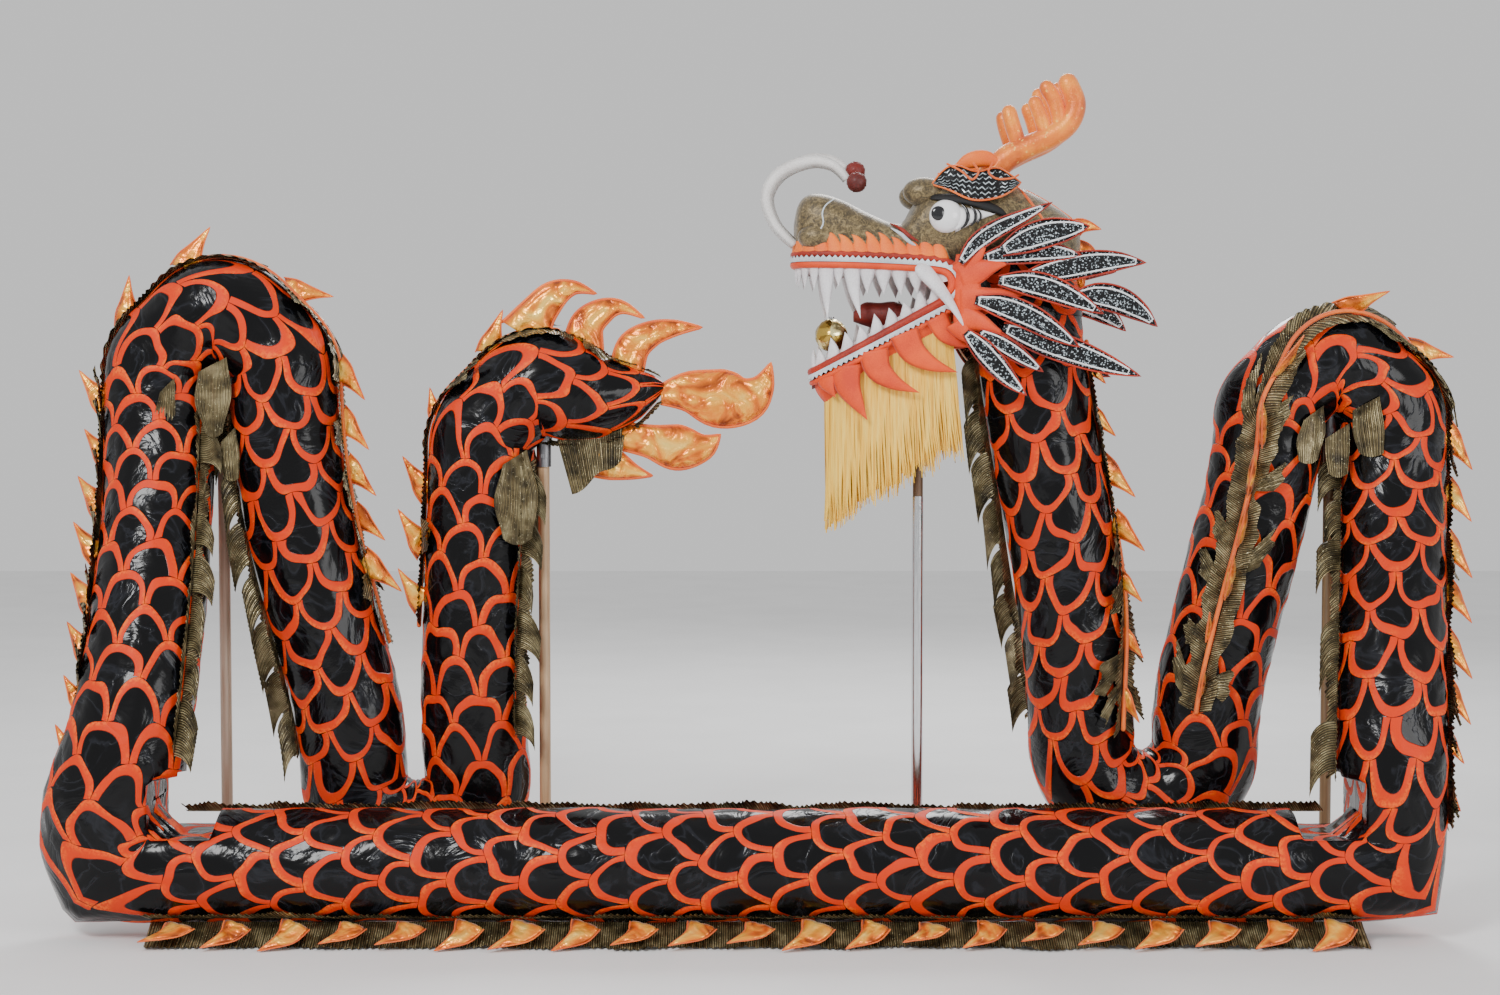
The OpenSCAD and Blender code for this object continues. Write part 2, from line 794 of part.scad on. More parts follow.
// ---------------------------------------------------------------- left arch
module left_corner_sleeve() { corner(left_corner_x, -1); }
module left_arch_sleeve() {
    color(black_cloth) {
        crown(left_pole_x, left_crown_z);
        leg_sleeve(left_rise_line, up, 8);
        leg_sleeve(left_fall_line, -up, 6);
    }
}
module left_arch_hoops() {
    color("silver") {
        leg_hoops(left_rise_line, 0.1, 0.9, 4);
        leg_hoops(left_fall_line, 0.1, 0.9, 4);
        hoop([left_pole_x, 0, left_crown_z + bend_r], [1, 0, 0]);
    }
}
module left_arch_bracket() {
    color("gray")
        translate([left_pole_x, 0, left_crown_z])
            bracket();
}
module left_pole() { color("burlywood") pole(left_pole_x, left_crown_z); }
module left_pole_cap() { pole_cap(left_pole_x); }
module left_arch_fins() {
    color(gold) {
        leg_fins(left_rise_line, 0.08, 0.94, 7);
        leg_fins(left_fall_line, 0.08, 0.3733, 3);
        crown_fins(left_pole_x, left_crown_z, [40, 85, 130]);
    }
}
module left_arch_ruffles() {
    color(lame) {
        leg_ruffle(left_rise_line, 0.04, 0.97);
        leg_ruffle(left_fall_line, 0.03, 0.66);
        belly_ruffle(left_rise_line, 0.1, 0.7);
        belly_ruffle(left_fall_line, 0.42, 0.85);
        crown_ruffle(left_pole_x, left_crown_z, 10, 170);
    }
}

// ---------------------------------------------------------------- tail rise
tail_belly_twist = 32;            // the belly ruffle hangs in front of the tail pole
module left_trough_sleeve() { trough(left_trough_x, left_trough_z); }
module tail_rise_sleeve() { color(black_cloth) leg_sleeve(tail_rise_line, up, 6); }
module tail_rise_hoops() { color("silver") leg_hoops(tail_rise_line, 0.1, 0.92, 4); }
module tail_rise_fins() { color(gold) leg_fins(tail_rise_line, 0.6, 0.95, 3); }
module tail_rise_ruffles() {
    color(lame) {
        leg_ruffle(tail_rise_line, 0.55, 0.97);
        belly_ruffle(tail_rise_line, 0.15, 0.9, 180 - tail_belly_twist);
    }
}

// ---------------------------------------------------------------- tail
elbow_split = 62;                 // degrees of the elbow that bend when the tail turns
tail_z = tail_elbow_z + bend_r;
module tail_elbow_sleeve() {
    color(black_cloth)
        translate([tail_pole_x, 0, tail_elbow_z])
            difference() {
                bent_sleeve(end_angle, elbow_split - end_angle);
                translate([0, 0, -1])
                    cylinder(h = inner_bend_r + 40, r = slot_r);
            }
}
// Tail end: the elbow's last part and the tapered cone
tail_taper = [[0.6, 116], [60, 112], [130, 92], [200, 58], [246, 24], [264, 8]];
module tail_cone_sleeve() {
    color(black_cloth)
        difference() {
            union() {
                translate([tail_pole_x, 0, tail_elbow_z])
                    bent_sleeve(elbow_split + end_angle, 89.8);
                translate([tail_pole_x, 0, tail_z])
                    rotate([0, 90, 0])
                        rotate_extrude()
                            polygon(concat(
                                [for (q = tail_taper) [q[1], q[0]]],
                                [for (i = [len(tail_taper) - 1:-1:0]) [tail_taper[i][1] - sleeve_wall, tail_taper[i][0]]]
                            ));
            }
            translate([tail_pole_x, 0, tail_elbow_z - 1])
                cylinder(h = inner_bend_r + 40, r = slot_r);
        }
}
module tail_frame() {
    color("silver") {
        hoop([tail_pole_x, 0, tail_z], [1, 0, 0]);
        translate([tail_pole_x, 0, tail_elbow_z])
            bracket();
    }
}
module tail_pole() { color("tan") pole(tail_pole_x, tail_elbow_z); }
module tail_pole_cap() { pole_cap(tail_pole_x); }
// Padded flames round the tail's end
module flame(outline, side = 0, thick = 26) {
    translate([0, side + thick / 2, 0])
        rotate([90, 0, 0])
            linear_extrude(height = thick)
                polygon(outline);
}
module tail_flames() {
    color(gold) {
        flame([[-904, 1274], [-862, 1300], [-840, 1350], [-780, 1376], [-716, 1352],
            [-762, 1342], [-790, 1316], [-796, 1276]]);
        flame([[-790, 1274], [-764, 1290], [-736, 1318], [-690, 1326], [-606, 1298],
            [-660, 1290], [-694, 1270], [-700, 1256]]);
        flame([[-690, 1254], [-650, 1268], [-590, 1280], [-478, 1272], [-540, 1248],
            [-570, 1218], [-596, 1206], [-612, 1214]]);
        flame([[-554, 1140], [-520, 1176], [-476, 1182], [-432, 1172], [-392, 1164],
            [-324, 1200], [-332, 1150], [-372, 1090], [-420, 1056], [-480, 1070],
            [-530, 1104]]);
        flame([[-600, 1082], [-566, 1096], [-540, 1080], [-444, 1032], [-500, 984], [-556, 966],
            [-600, 990], [-650, 1024]]);
        flame([[-652, 1010], [-606, 984], [-586, 950], [-640, 928], [-684, 916], [-690, 976]]);
    }
}
module tail_ruffles() {
    color(lame)
        for (side = [-1, 1])
            flame([[-826, 1270], [-770, 1268], [-770, 1292], [-826, 1292]], side * 22, 8);
    color(lame)
        flame([[-786, 1026], [-700, 1030], [-700, 960], [-786, 968]], 0, 10);
}

// ---------------------------------------------------------------- what is drawn
floor_sleeve();
floor_hoops();
floor_ruffle();
floor_fins();
floor_seam_trim();
right_corner_sleeve();
right_arch_sleeve();
right_arch_hoops();
right_arch_bracket();
right_pole();
right_pole_cap();
right_arch_fins();
right_arch_ruffles();
right_trough_sleeve();
neck_sleeve();
neck_hoops();
neck_fins();
neck_ruffles();
neck_top_sleeve();
head_frame();
head_pole_shaft();
head_pole_tube();
head_pole_cap();
skull();
lower_jaw();
lip_rolls();
upper_teeth();
lower_teeth();
tongue();
pearl();
pearl_spindle();
eyes();
brows();
horns();
cheek_fins();
cheek_flames();
beard();
nape_crest();
feeler_left();
feeler_right();
left_corner_sleeve();
left_arch_sleeve();
left_arch_hoops();
left_arch_bracket();
left_pole();
left_pole_cap();
left_arch_fins();
left_arch_ruffles();
left_trough_sleeve();
tail_rise_sleeve();
tail_rise_hoops();
tail_rise_fins();
tail_rise_ruffles();
tail_elbow_sleeve();
tail_cone_sleeve();
tail_frame();
tail_pole();
tail_pole_cap();
tail_flames();
tail_ruffles();
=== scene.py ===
"""A dance dragon on poles: cloth sleeve with scales, lame ruffles, thorn fins, head and flame tail.

Metres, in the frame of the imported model. The dragon lies along X and its viewed side faces -Y.
"""

import bisect
import json
import math
import random

import bmesh
import bpy
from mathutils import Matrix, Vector, noise


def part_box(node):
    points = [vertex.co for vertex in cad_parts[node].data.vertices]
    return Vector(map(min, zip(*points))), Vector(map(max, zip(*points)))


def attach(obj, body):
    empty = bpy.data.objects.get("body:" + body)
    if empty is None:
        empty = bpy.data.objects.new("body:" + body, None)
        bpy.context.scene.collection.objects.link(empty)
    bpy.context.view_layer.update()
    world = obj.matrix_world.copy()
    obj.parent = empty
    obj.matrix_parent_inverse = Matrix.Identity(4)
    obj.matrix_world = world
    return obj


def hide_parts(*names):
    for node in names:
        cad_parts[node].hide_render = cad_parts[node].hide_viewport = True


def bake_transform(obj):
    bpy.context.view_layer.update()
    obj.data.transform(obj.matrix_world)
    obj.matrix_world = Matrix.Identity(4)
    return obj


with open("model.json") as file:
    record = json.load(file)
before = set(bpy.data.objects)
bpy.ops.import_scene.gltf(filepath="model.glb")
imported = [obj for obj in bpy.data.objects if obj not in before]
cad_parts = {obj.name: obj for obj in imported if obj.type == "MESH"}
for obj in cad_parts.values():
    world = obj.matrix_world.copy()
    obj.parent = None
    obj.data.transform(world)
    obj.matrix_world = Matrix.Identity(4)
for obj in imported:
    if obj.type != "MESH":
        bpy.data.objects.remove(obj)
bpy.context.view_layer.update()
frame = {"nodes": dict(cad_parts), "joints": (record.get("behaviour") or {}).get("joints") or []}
rng = random.Random(7)
JOINTS = {j["name"]: Vector(j["pos_m"]) for j in frame["joints"]}


# ---------------------------------------------------------------- camera, floor and lights
def make_camera():
    data = bpy.data.cameras.new("camera")
    data.sensor_width = 36
    data.lens = 54.5
    camera = bpy.data.objects.new("camera", data)
    bpy.context.scene.collection.objects.link(camera)
    camera.location = (-0.37, -5.0, 1.15)
    camera.rotation_euler = (math.radians(90 - 2.84), 0, 0)
    bpy.context.scene.camera = camera


def make_light(name, place, target, size, power):
    data = bpy.data.lights.new(name, "AREA")
    data.shape = "DISK"
    data.size = size
    data.energy = power
    lamp = bpy.data.objects.new(name, data)
    bpy.context.scene.collection.objects.link(lamp)
    lamp.location = place
    lamp.rotation_euler = (Vector(target) - Vector(place)).to_track_quat("-Z", "Y").to_euler()


def make_studio():
    world = bpy.data.worlds.new("studio")
    bpy.context.scene.world = world
    world.use_nodes = True
    background = world.node_tree.nodes["Background"]
    background.inputs["Color"].default_value = (1, 1, 1, 1)
    background.inputs["Strength"].default_value = 0.75
    middle = (-0.4, 0, 0.9)
    make_light("key", (-2.6, -4.2, 4.0), middle, 1.6, 230)
    make_light("fill", (3.4, -3.6, 2.0), middle, 2.4, 90)
    make_light("back", (0.5, 3.5, 3.5), middle, 2.0, 120)
    tree = Tree("floor")
    tree.color(tree.ramp(tree.noise(3, 2), [(0.3, (0.80,) * 3), (0.7, (0.84,) * 3)]))
    tree.set(Roughness=0.75)
    mesh = bpy.data.meshes.new("floor")
    reach = 9
    signs = ((-1, -1), (1, -1), (1, 1), (-1, 1))
    mesh.from_pydata([(x * reach, y * reach, 0) for x, y in signs], [], [(0, 1, 2, 3)])
    mesh.materials.append(tree.material)
    floor = bpy.data.objects.new("floor", mesh)
    bpy.context.scene.collection.objects.link(floor)


# ---------------------------------------------------------------- materials
class Tree:
    """A material's node tree, with short calls for the nodes used here"""

    def __init__(self, name):
        self.material = bpy.data.materials.new(name)
        self.material.use_nodes = True
        self.nodes = self.material.node_tree.nodes
        self.links = self.material.node_tree.links
        self.shader = self.nodes["Principled BSDF"]
        self.where = self.nodes.new("ShaderNodeTexCoord")

    def set(self, **values):
        for name, value in values.items():
            self.shader.inputs[name.replace("_", " ")].default_value = value

    def feed(self, socket, value):
        if isinstance(value, bpy.types.NodeSocket):
            self.links.new(value, socket)
        else:
            socket.default_value = value

    def math(self, operation, a, b=0.0):
        node = self.nodes.new("ShaderNodeMath")
        node.operation = operation
        self.feed(node.inputs[0], a)
        self.feed(node.inputs[1], b)
        return node.outputs[0]

    def step(self, value, low, high, to_low=0.0, to_high=1.0):
        node = self.nodes.new("ShaderNodeMapRange")
        node.interpolation_type = "SMOOTHSTEP"
        for socket, number in zip(list(node.inputs)[:5], (value, low, high, to_low, to_high)):
            self.feed(socket, number)
        return node.outputs[0]

    def stretched(self, scale, source="Object"):
        node = self.nodes.new("ShaderNodeMapping")
        node.inputs["Scale"].default_value = scale
        self.links.new(self.where.outputs[source], node.inputs["Vector"])
        return node.outputs[0]

    def noise(self, scale, detail=3.0, vector=None, distortion=0.0):
        node = self.nodes.new("ShaderNodeTexNoise")
        self.links.new(vector or self.where.outputs["Object"], node.inputs["Vector"])
        node.inputs["Scale"].default_value = scale
        node.inputs["Detail"].default_value = detail
        node.inputs["Distortion"].default_value = distortion
        return node.outputs["Fac"]

    def cells(self, scale, vector=None, output="Distance", feature="F1"):
        node = self.nodes.new("ShaderNodeTexVoronoi")
        node.feature = feature
        self.links.new(vector or self.where.outputs["Object"], node.inputs["Vector"])
        node.inputs["Scale"].default_value = scale
        return node.outputs[output]

    def uv(self):
        node = self.nodes.new("ShaderNodeSeparateXYZ")
        self.links.new(self.where.outputs["UV"], node.inputs[0])
        return node.outputs[0], node.outputs[1]

    def ramp(self, value, stops):
        node = self.nodes.new("ShaderNodeValToRGB")
        band = node.color_ramp
        while len(band.elements) < len(stops):
            band.elements.new(0.5)
        for element, (place, colour) in zip(band.elements, stops):
            element.position = place
            element.color = (*colour, 1)
        self.feed(node.inputs[0], value)
        return node.outputs[0]

    def mix(self, share, a, b):
        node = self.nodes.new("ShaderNodeMix")
        node.data_type = "RGBA"
        self.feed(node.inputs[0], share)
        self.feed(node.inputs[6], a if isinstance(a, bpy.types.NodeSocket) else (*a, 1))
        self.feed(node.inputs[7], b if isinstance(b, bpy.types.NodeSocket) else (*b, 1))
        return node.outputs[2]

    def color(self, socket):
        self.links.new(socket, self.shader.inputs["Base Color"])

    def rough(self, socket):
        self.links.new(socket, self.shader.inputs["Roughness"])

    def bump(self, height, strength=0.5, distance=0.002):
        node = self.nodes.new("ShaderNodeBump")
        node.inputs["Strength"].default_value = strength
        node.inputs["Distance"].default_value = distance
        self.links.new(height, node.inputs["Height"])
        self.links.new(node.outputs[0], self.shader.inputs["Normal"])


ORANGE = (0.66, 0.034, 0.0)
# The lighter orange is the colour of the painted highlight on the printed net
HIGHLIGHT_ORANGE = (0.95, 0.15, 0.004)
PITCH_BLACK = (0.002, 0.002, 0.0025)


def scaled_cloth():
    """Orange net of scales printed on black vinyl, with painted highlights on the orange and painted glints
    along the vinyl's creases. UV: X counts scales round the sleeve, Y counts rows
    """
    t = Tree("scaled_cloth")
    across, along = t.uv()
    row = t.math("FLOOR", along)
    depth = t.math("SUBTRACT", along, row)
    shifted = t.math("ADD", across, t.math("MULTIPLY", t.math("MODULO", row, 2.0), 0.5))
    half = t.math("SUBTRACT", t.math("FRACT", shifted), 0.5)
    wide = t.math("MULTIPLY", half, 2.0)
    far = t.math("SQRT", t.math("ADD", t.math("MULTIPLY", wide, wide), t.math("MULTIPLY", depth, depth)))
    inner = t.step(far, 0.72, 0.75)
    outer = t.step(far, 0.985, 1.0, 1.0, 0.0)
    net = t.math("MULTIPLY", inner, outer)
    # Painted highlight: lighter, speckled orange over the outer part of each band of the net
    highlight_speckle = t.noise(160, 4)
    highlight_band = t.math("MULTIPLY", t.step(far, 0.80, 0.95), t.step(t.noise(14, 3), 0.40, 0.62))
    painted_highlight = t.math("MULTIPLY", highlight_band, t.step(highlight_speckle, 0.35, 0.62))
    orange = t.mix(t.math("MULTIPLY", painted_highlight, 0.75), ORANGE, HIGHLIGHT_ORANGE)
    crease = t.noise(9, 4, distortion=1.2)
    fold = t.math("POWER", t.math("ABSOLUTE", t.math("SUBTRACT", crease, 0.5)), 0.6)
    # Painted glints: the vinyl's black turns bluish grey along the crease lines
    black = t.mix(t.step(fold, 0.0, 0.16, 1.0, 0.0), PITCH_BLACK, (0.012, 0.013, 0.017))
    t.color(t.mix(net, black, orange))
    t.rough(t.step(net, 0.0, 1.0, 0.17, 0.55))
    t.set(Specular_IOR_Level=0.22)
    weave = t.math("MULTIPLY", t.noise(420, 2), net)
    height = t.math("ADD", t.math("MULTIPLY", net, 0.35), t.math("MULTIPLY", weave, 0.12))
    t.bump(t.math("ADD", height, t.math("MULTIPLY", fold, 1.1)), 0.7, 0.004)
    return t.material


def lame():
    """Pleated metallic cloth, dark gold, with painted shade in the pleats' troughs and painted glints on
    their crests. UV: X runs along the pleats' row in metres
    """
    t = Tree("lame")
    along, _ = t.uv()
    pleat = t.math("SINE", t.math("MULTIPLY", along, 2 * math.pi / 0.0046))
    speck = t.cells(420, output="Color")
    tones = [(0.30, (0.05, 0.038, 0.018)), (0.50, (0.24, 0.185, 0.085)), (0.68, (0.55, 0.46, 0.25))]
    base = t.ramp(t.noise(30, 4), tones)
    # Painted shade: the pleats' troughs are darkened nearly to black
    line = t.step(pleat, -0.2, 0.7, 0.0, 0.85)
    tone = t.mix(line, base, (0.014, 0.011, 0.008))
    # Painted glints: pale gold specks on the pleats' crests
    painted_glint = t.math("MULTIPLY", t.step(speck, 0.84, 0.90), t.step(pleat, 0.3, -0.3))
    t.color(t.mix(t.math("MULTIPLY", painted_glint, 0.8), tone, (0.80, 0.74, 0.46)))
    t.set(Metallic=0.5, Roughness=0.36)
    t.bump(t.math("ADD", t.math("MULTIPLY", pleat, -1.0), t.noise(300, 2)), 0.8, 0.0016)
    return t.material


def gold_satin():
    """Padded gold satin with painted shade, deeper orange, toward its edge and painted highlights along its
    wrinkles. UV: X runs across the pad
    """
    t = Tree("gold_satin")
    across, _ = t.uv()
    # Painted shade: the colour darkens toward the pad's edges
    off = t.math("ABSOLUTE", t.math("SUBTRACT", across, 0.5))
    wrinkle = t.noise(15, 2, distortion=1.6)
    # Painted highlights and shade along the wrinkles
    painted_wrinkle_light = t.math("ADD", t.math("MULTIPLY", wrinkle, 1.5), -0.20)
    value = t.math("ADD", t.math("MULTIPLY", off, -0.75), painted_wrinkle_light)
    # Ramp from painted shade (deep) to painted highlight (pale)
    deep, middle = (0.30, 0.05, 0.002), (0.80, 0.17, 0.004)
    light, pale = (1.0, 0.42, 0.03), (1.0, 0.66, 0.14)
    t.color(t.ramp(value, [(0.02, deep), (0.24, middle), (0.50, light), (0.82, pale)]))
    t.set(Metallic=0.45, Roughness=0.28, Sheen_Weight=0.15)
    t.bump(t.math("ADD", wrinkle, t.math("MULTIPLY", t.noise(60, 3), 0.22)), 0.9, 0.012)
    return t.material


def brocade():
    t = Tree("brocade")
    flower = t.noise(70, 5, None, 1.5)
    thread = t.noise(380, 3)
    value = t.math("ADD", t.math("MULTIPLY", flower, 0.62), t.math("MULTIPLY", thread, 0.38))
    tones = [(0.38, (0.045, 0.032, 0.014)), (0.5, (0.13, 0.092, 0.038)), (0.62, (0.27, 0.20, 0.09))]
    t.color(t.ramp(value, tones))
    t.set(Metallic=0.3, Roughness=0.45, Sheen_Weight=0.3)
    t.bump(value, 0.6, 0.002)
    return t.material


def black_lace():
    """Black net with silver sequins in small broken zigzags"""
    t = Tree("black_lace")
    dots = t.cells(230)
    band = t.noise(150, 2, t.stretched((1, 1, 1.6)))
    silver = t.math("MULTIPLY", t.step(dots, 0.36, 0.46, 1.0, 0.0), t.step(band, 0.44, 0.54))
    t.color(t.mix(silver, (0.003, 0.003, 0.004), (0.45, 0.52, 0.56)))
    t.rough(t.step(silver, 0, 1, 0.5, 0.22))
    t.set(Metallic=0.25, Specular_IOR_Level=0.3)
    t.bump(dots, 0.6, 0.0015)
    return t.material


def zigzag_lace():
    """Black cloth with broken rows of silver zigzag. UV: X across the panel, Y along it"""
    t = Tree("zigzag_lace")
    across, along = t.uv()
    saw = t.math("FRACT", t.math("MULTIPLY", along, 15.0))
    wave = t.math("ABSOLUTE", t.math("SUBTRACT", saw, 0.5))
    rows = t.math("FRACT", t.math("ADD", t.math("MULTIPLY", across, 6.0), wave))
    silver = t.math("MULTIPLY", t.step(rows, 0.30, 0.40), t.step(rows, 0.54, 0.64, 1.0, 0.0))
    silver = t.math("MULTIPLY", silver, t.step(t.noise(90, 3), 0.40, 0.56))
    t.color(t.mix(silver, (0.003, 0.003, 0.004), (0.50, 0.57, 0.60)))
    t.rough(t.step(silver, 0, 1, 0.5, 0.22))
    t.set(Metallic=0.25, Specular_IOR_Level=0.3)
    t.bump(rows, 0.5, 0.0015)
    return t.material


def cloth(name, dark, light, rough=0.75, grain=420.0, sheen=0.3, patches=9.0):
    """Plain woven or felted cloth whose colour drifts between two tones"""
    t = Tree(name)
    thread = t.noise(grain, 3)
    drift = t.noise(patches, 3)
    value = t.math("ADD", t.math("MULTIPLY", drift, 0.6), t.math("MULTIPLY", thread, 0.4))
    t.color(t.ramp(value, [(0.38, dark), (0.62, light)]))
    t.set(Roughness=rough, Sheen_Weight=sheen)
    t.bump(thread, 0.45, 0.001)
    return t.material


def hair():
    t = Tree("hair")
    streak = t.noise(1.0, 4, t.stretched((190, 190, 5)))
    tones = [(0.28, (0.50, 0.22, 0.01)), (0.42, (0.92, 0.50, 0.03)), (0.60, (1.0, 0.66, 0.10))]
    t.color(t.ramp(streak, tones))
    t.set(Roughness=0.42, Sheen_Weight=0.1)
    t.bump(streak, 0.5, 0.002)
    return t.material


def horn_cloth():
    t = Tree("horn_cloth")
    speck = t.cells(230, output="Color")
    tones = [(0.32, (0.62, 0.10, 0.002)), (0.52, (0.92, 0.22, 0.006)), (0.72, (1.0, 0.36, 0.02))]
    tone = t.ramp(t.noise(18, 3), tones)
    t.color(t.mix(t.step(speck, 0.86, 0.90, 0.0, 0.7), tone, (1.0, 0.60, 0.12)))
    t.set(Metallic=0.2, Roughness=0.42, Sheen_Weight=0.3)
    t.bump(t.cells(230), 0.4, 0.0012)
    return t.material


def wood(name, dark, light):
    t = Tree(name)
    grain = t.noise(1.0, 5, t.stretched((120, 120, 5)), 0.6)
    knot = t.cells(1.0, t.stretched((14, 14, 5)))
    t.color(t.mix(t.step(knot, 0.02, 0.10, 0.7, 0.0), t.ramp(grain, [(0.3, dark), (0.7, light)]), dark))
    t.set(Roughness=0.48, Coat_Weight=0.15)
    t.bump(grain, 0.3, 0.0008)
    return t.material


def metal(name, dark, light, rough):
    t = Tree(name)
    scratch = t.noise(1.0, 4, t.stretched((400, 400, 30)))
    t.color(t.ramp(scratch, [(0.3, dark), (0.7, light)]))
    t.rough(t.step(scratch, 0.2, 0.8, rough * 0.8, rough * 1.3))
    t.set(Metallic=1.0)
    t.bump(scratch, 0.1, 0.0004)
    return t.material


def rubber():
    t = Tree("rubber")
    wear = t.noise(60, 4)
    t.color(t.ramp(wear, [(0.35, (0.012, 0.012, 0.013)), (0.7, (0.045, 0.043, 0.042))]))
    t.set(Roughness=0.7)
    t.bump(t.noise(500, 2), 0.3, 0.0006)
    return t.material


def gold_foil():
    t = Tree("gold_foil")
    facet = t.cells(40, output="Color")
    t.color(t.ramp(facet, [(0.2, (0.30, 0.17, 0.03)), (0.5, (0.85, 0.58, 0.12)), (0.8, (1.0, 0.90, 0.45))]))
    t.set(Metallic=0.9, Roughness=0.22)
    t.bump(t.cells(40), 0.8, 0.004)
    return t.material


def gloss(name, colour, rough=0.15):
    t = Tree(name)
    fine = t.noise(40, 3)
    low = tuple(0.93 * c for c in colour)
    t.color(t.ramp(fine, [(0.3, low), (0.7, colour)]))
    t.set(Roughness=rough, Coat_Weight=0.3)
    t.bump(fine, 0.06, 0.001)
    return t.material


LOOK = {}


def make_materials():
    LOOK.update(
        scales=scaled_cloth(),
        lame=lame(),
        satin=gold_satin(),
        piping=cloth("orange_piping", (0.62, 0.07, 0.001), (0.95, 0.19, 0.005), 0.5, 600),
        brocade=brocade(),
        lace=black_lace(),
        zigzag=zigzag_lace(),
        orange=cloth("orange_cloth", (0.64, 0.036, 0.0), (0.86, 0.085, 0.001), 0.6, 500, 0.1, 16.0),
        amber=cloth("amber_cloth", (0.80, 0.10, 0.001), (0.98, 0.22, 0.006), 0.6, 500, 0.1),
        red=cloth("red_cloth", (0.16, 0.006, 0.001), (0.52, 0.026, 0.001), 0.6, 350, 0.1),
        dark_red=cloth("dark_red_cloth", (0.07, 0.003, 0.001), (0.20, 0.007, 0.001), 0.5, 300, 0.1),
        white=cloth("white_foam", (0.62, 0.60, 0.62), (0.86, 0.84, 0.86), 0.6, 260, 0.1),
        gum=cloth("gum_cloth", (0.55, 0.40, 0.40), (0.80, 0.70, 0.70), 0.55, 260, 0.1),
        braid=cloth("silver_braid", (0.40, 0.46, 0.50), (0.78, 0.84, 0.88), 0.45, 700, 0.2),
        cord=cloth("white_cord", (0.70, 0.72, 0.74), (0.92, 0.93, 0.94), 0.5, 800, 0.2),
        hair=hair(),
        horn=horn_cloth(),
        feeler=cloth("feeler_felt", (0.60, 0.57, 0.55), (0.80, 0.78, 0.76), 0.7, 300, 0.3),
        black=cloth("black_cloth", (0.002, 0.002, 0.0025), (0.006, 0.006, 0.007), 0.7, 400, 0.0),
        pearl=gold_foil(),
        eye=gloss("eye_white", (0.85, 0.85, 0.86)),
        pupil=gloss("eye_black", (0.006, 0.006, 0.008)),
        rubber=rubber(),
        brown_wood=wood("brown_wood", (0.13, 0.075, 0.035), (0.27, 0.18, 0.09)),
        pale_wood=wood("pale_wood", (0.42, 0.29, 0.20), (0.66, 0.52, 0.40)),
        tan_wood=wood("tan_wood", (0.38, 0.22, 0.11), (0.60, 0.42, 0.25)),
        dark_wood=wood("dark_wood", (0.07, 0.035, 0.015), (0.17, 0.09, 0.04)),
        cane=wood("cane", (0.40, 0.25, 0.11), (0.62, 0.44, 0.22)),
        chrome=metal("chrome", (0.60, 0.61, 0.63), (0.78, 0.79, 0.80), 0.16),
        wire=metal("hoop_wire", (0.30, 0.30, 0.31), (0.50, 0.50, 0.52), 0.35),
        bracket=metal("bracket_steel", (0.16, 0.16, 0.17), (0.30, 0.30, 0.31), 0.4),
    )


# ---------------------------------------------------------------- mesh helpers
class Shape:
    """Vertices, faces and UVs gathered for one piece; every face names one of the piece's materials"""

    def __init__(self):
        self.verts = []
        self.faces = []
        self.uvs = []
        self.slots = []

    def add(self, verts, faces, uvs=None, slot=0):
        start = len(self.verts)
        self.verts.extend(tuple(v) for v in verts)
        self.uvs.extend(uvs or [(0.0, 0.0)] * len(verts))
        for face in faces:
            self.faces.append([start + i for i in face])
            self.slots.append(slot)

    def grid(self, rows, uvs=None, slot=0, closed=False):
        """rows is a list of rows of points, all of one length; closed joins each row's end to its start"""
        count = len(rows[0])
        verts = [p for row in rows for p in row]
        faces = []
        for i in range(len(rows) - 1):
            for j in range(count if closed else count - 1):
                k = (j + 1) % count
                faces.append((i * count + j, i * count + k, (i + 1) * count + k, (i + 1) * count + j))
        self.add(verts, faces, uvs, slot)

    def surface(self, rows, columns, spot):
        """A grid of rows by columns faces; spot turns two shares, 0 to 1, into a point and its UV"""
        lines = [[spot(i / rows, j / columns) for j in range(columns + 1)] for i in range(rows + 1)]
        self.grid([[p for p, _ in line] for line in lines], [uv for line in lines for _, uv in line])

    def cap(self, start, count, slot=0):
        """A face over count vertices in a row"""
        self.faces.append(list(range(start, start + count)))
        self.slots.append(slot)

    def build(self, name, body, materials, weld=0.00005, stands_for=()):
        """Makes the piece; stands_for names the CAD nodes it replaces"""
        mesh = bpy.data.meshes.new(name)
        mesh.from_pydata(self.verts, [], self.faces)
        layer = mesh.uv_layers.new(name="UVMap")
        for loop in mesh.loops:
            layer.data[loop.index].uv = self.uvs[loop.vertex_index]
        mesh.polygons.foreach_set("material_index", self.slots)
        mesh.polygons.foreach_set("use_smooth", [True] * len(self.faces))
        for material in materials:
            mesh.materials.append(LOOK[material])
        work = bmesh.new()
        work.from_mesh(mesh)
        bmesh.ops.remove_doubles(work, verts=work.verts, dist=weld)
        bmesh.ops.recalc_face_normals(work, faces=work.faces)
        work.to_mesh(mesh)
        work.free()
        piece = bpy.data.objects.new(name, mesh)
        bpy.context.scene.collection.objects.link(piece)
        if body:
            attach(piece, body)
        if stands_for:
            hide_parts(*stands_for)
        return piece


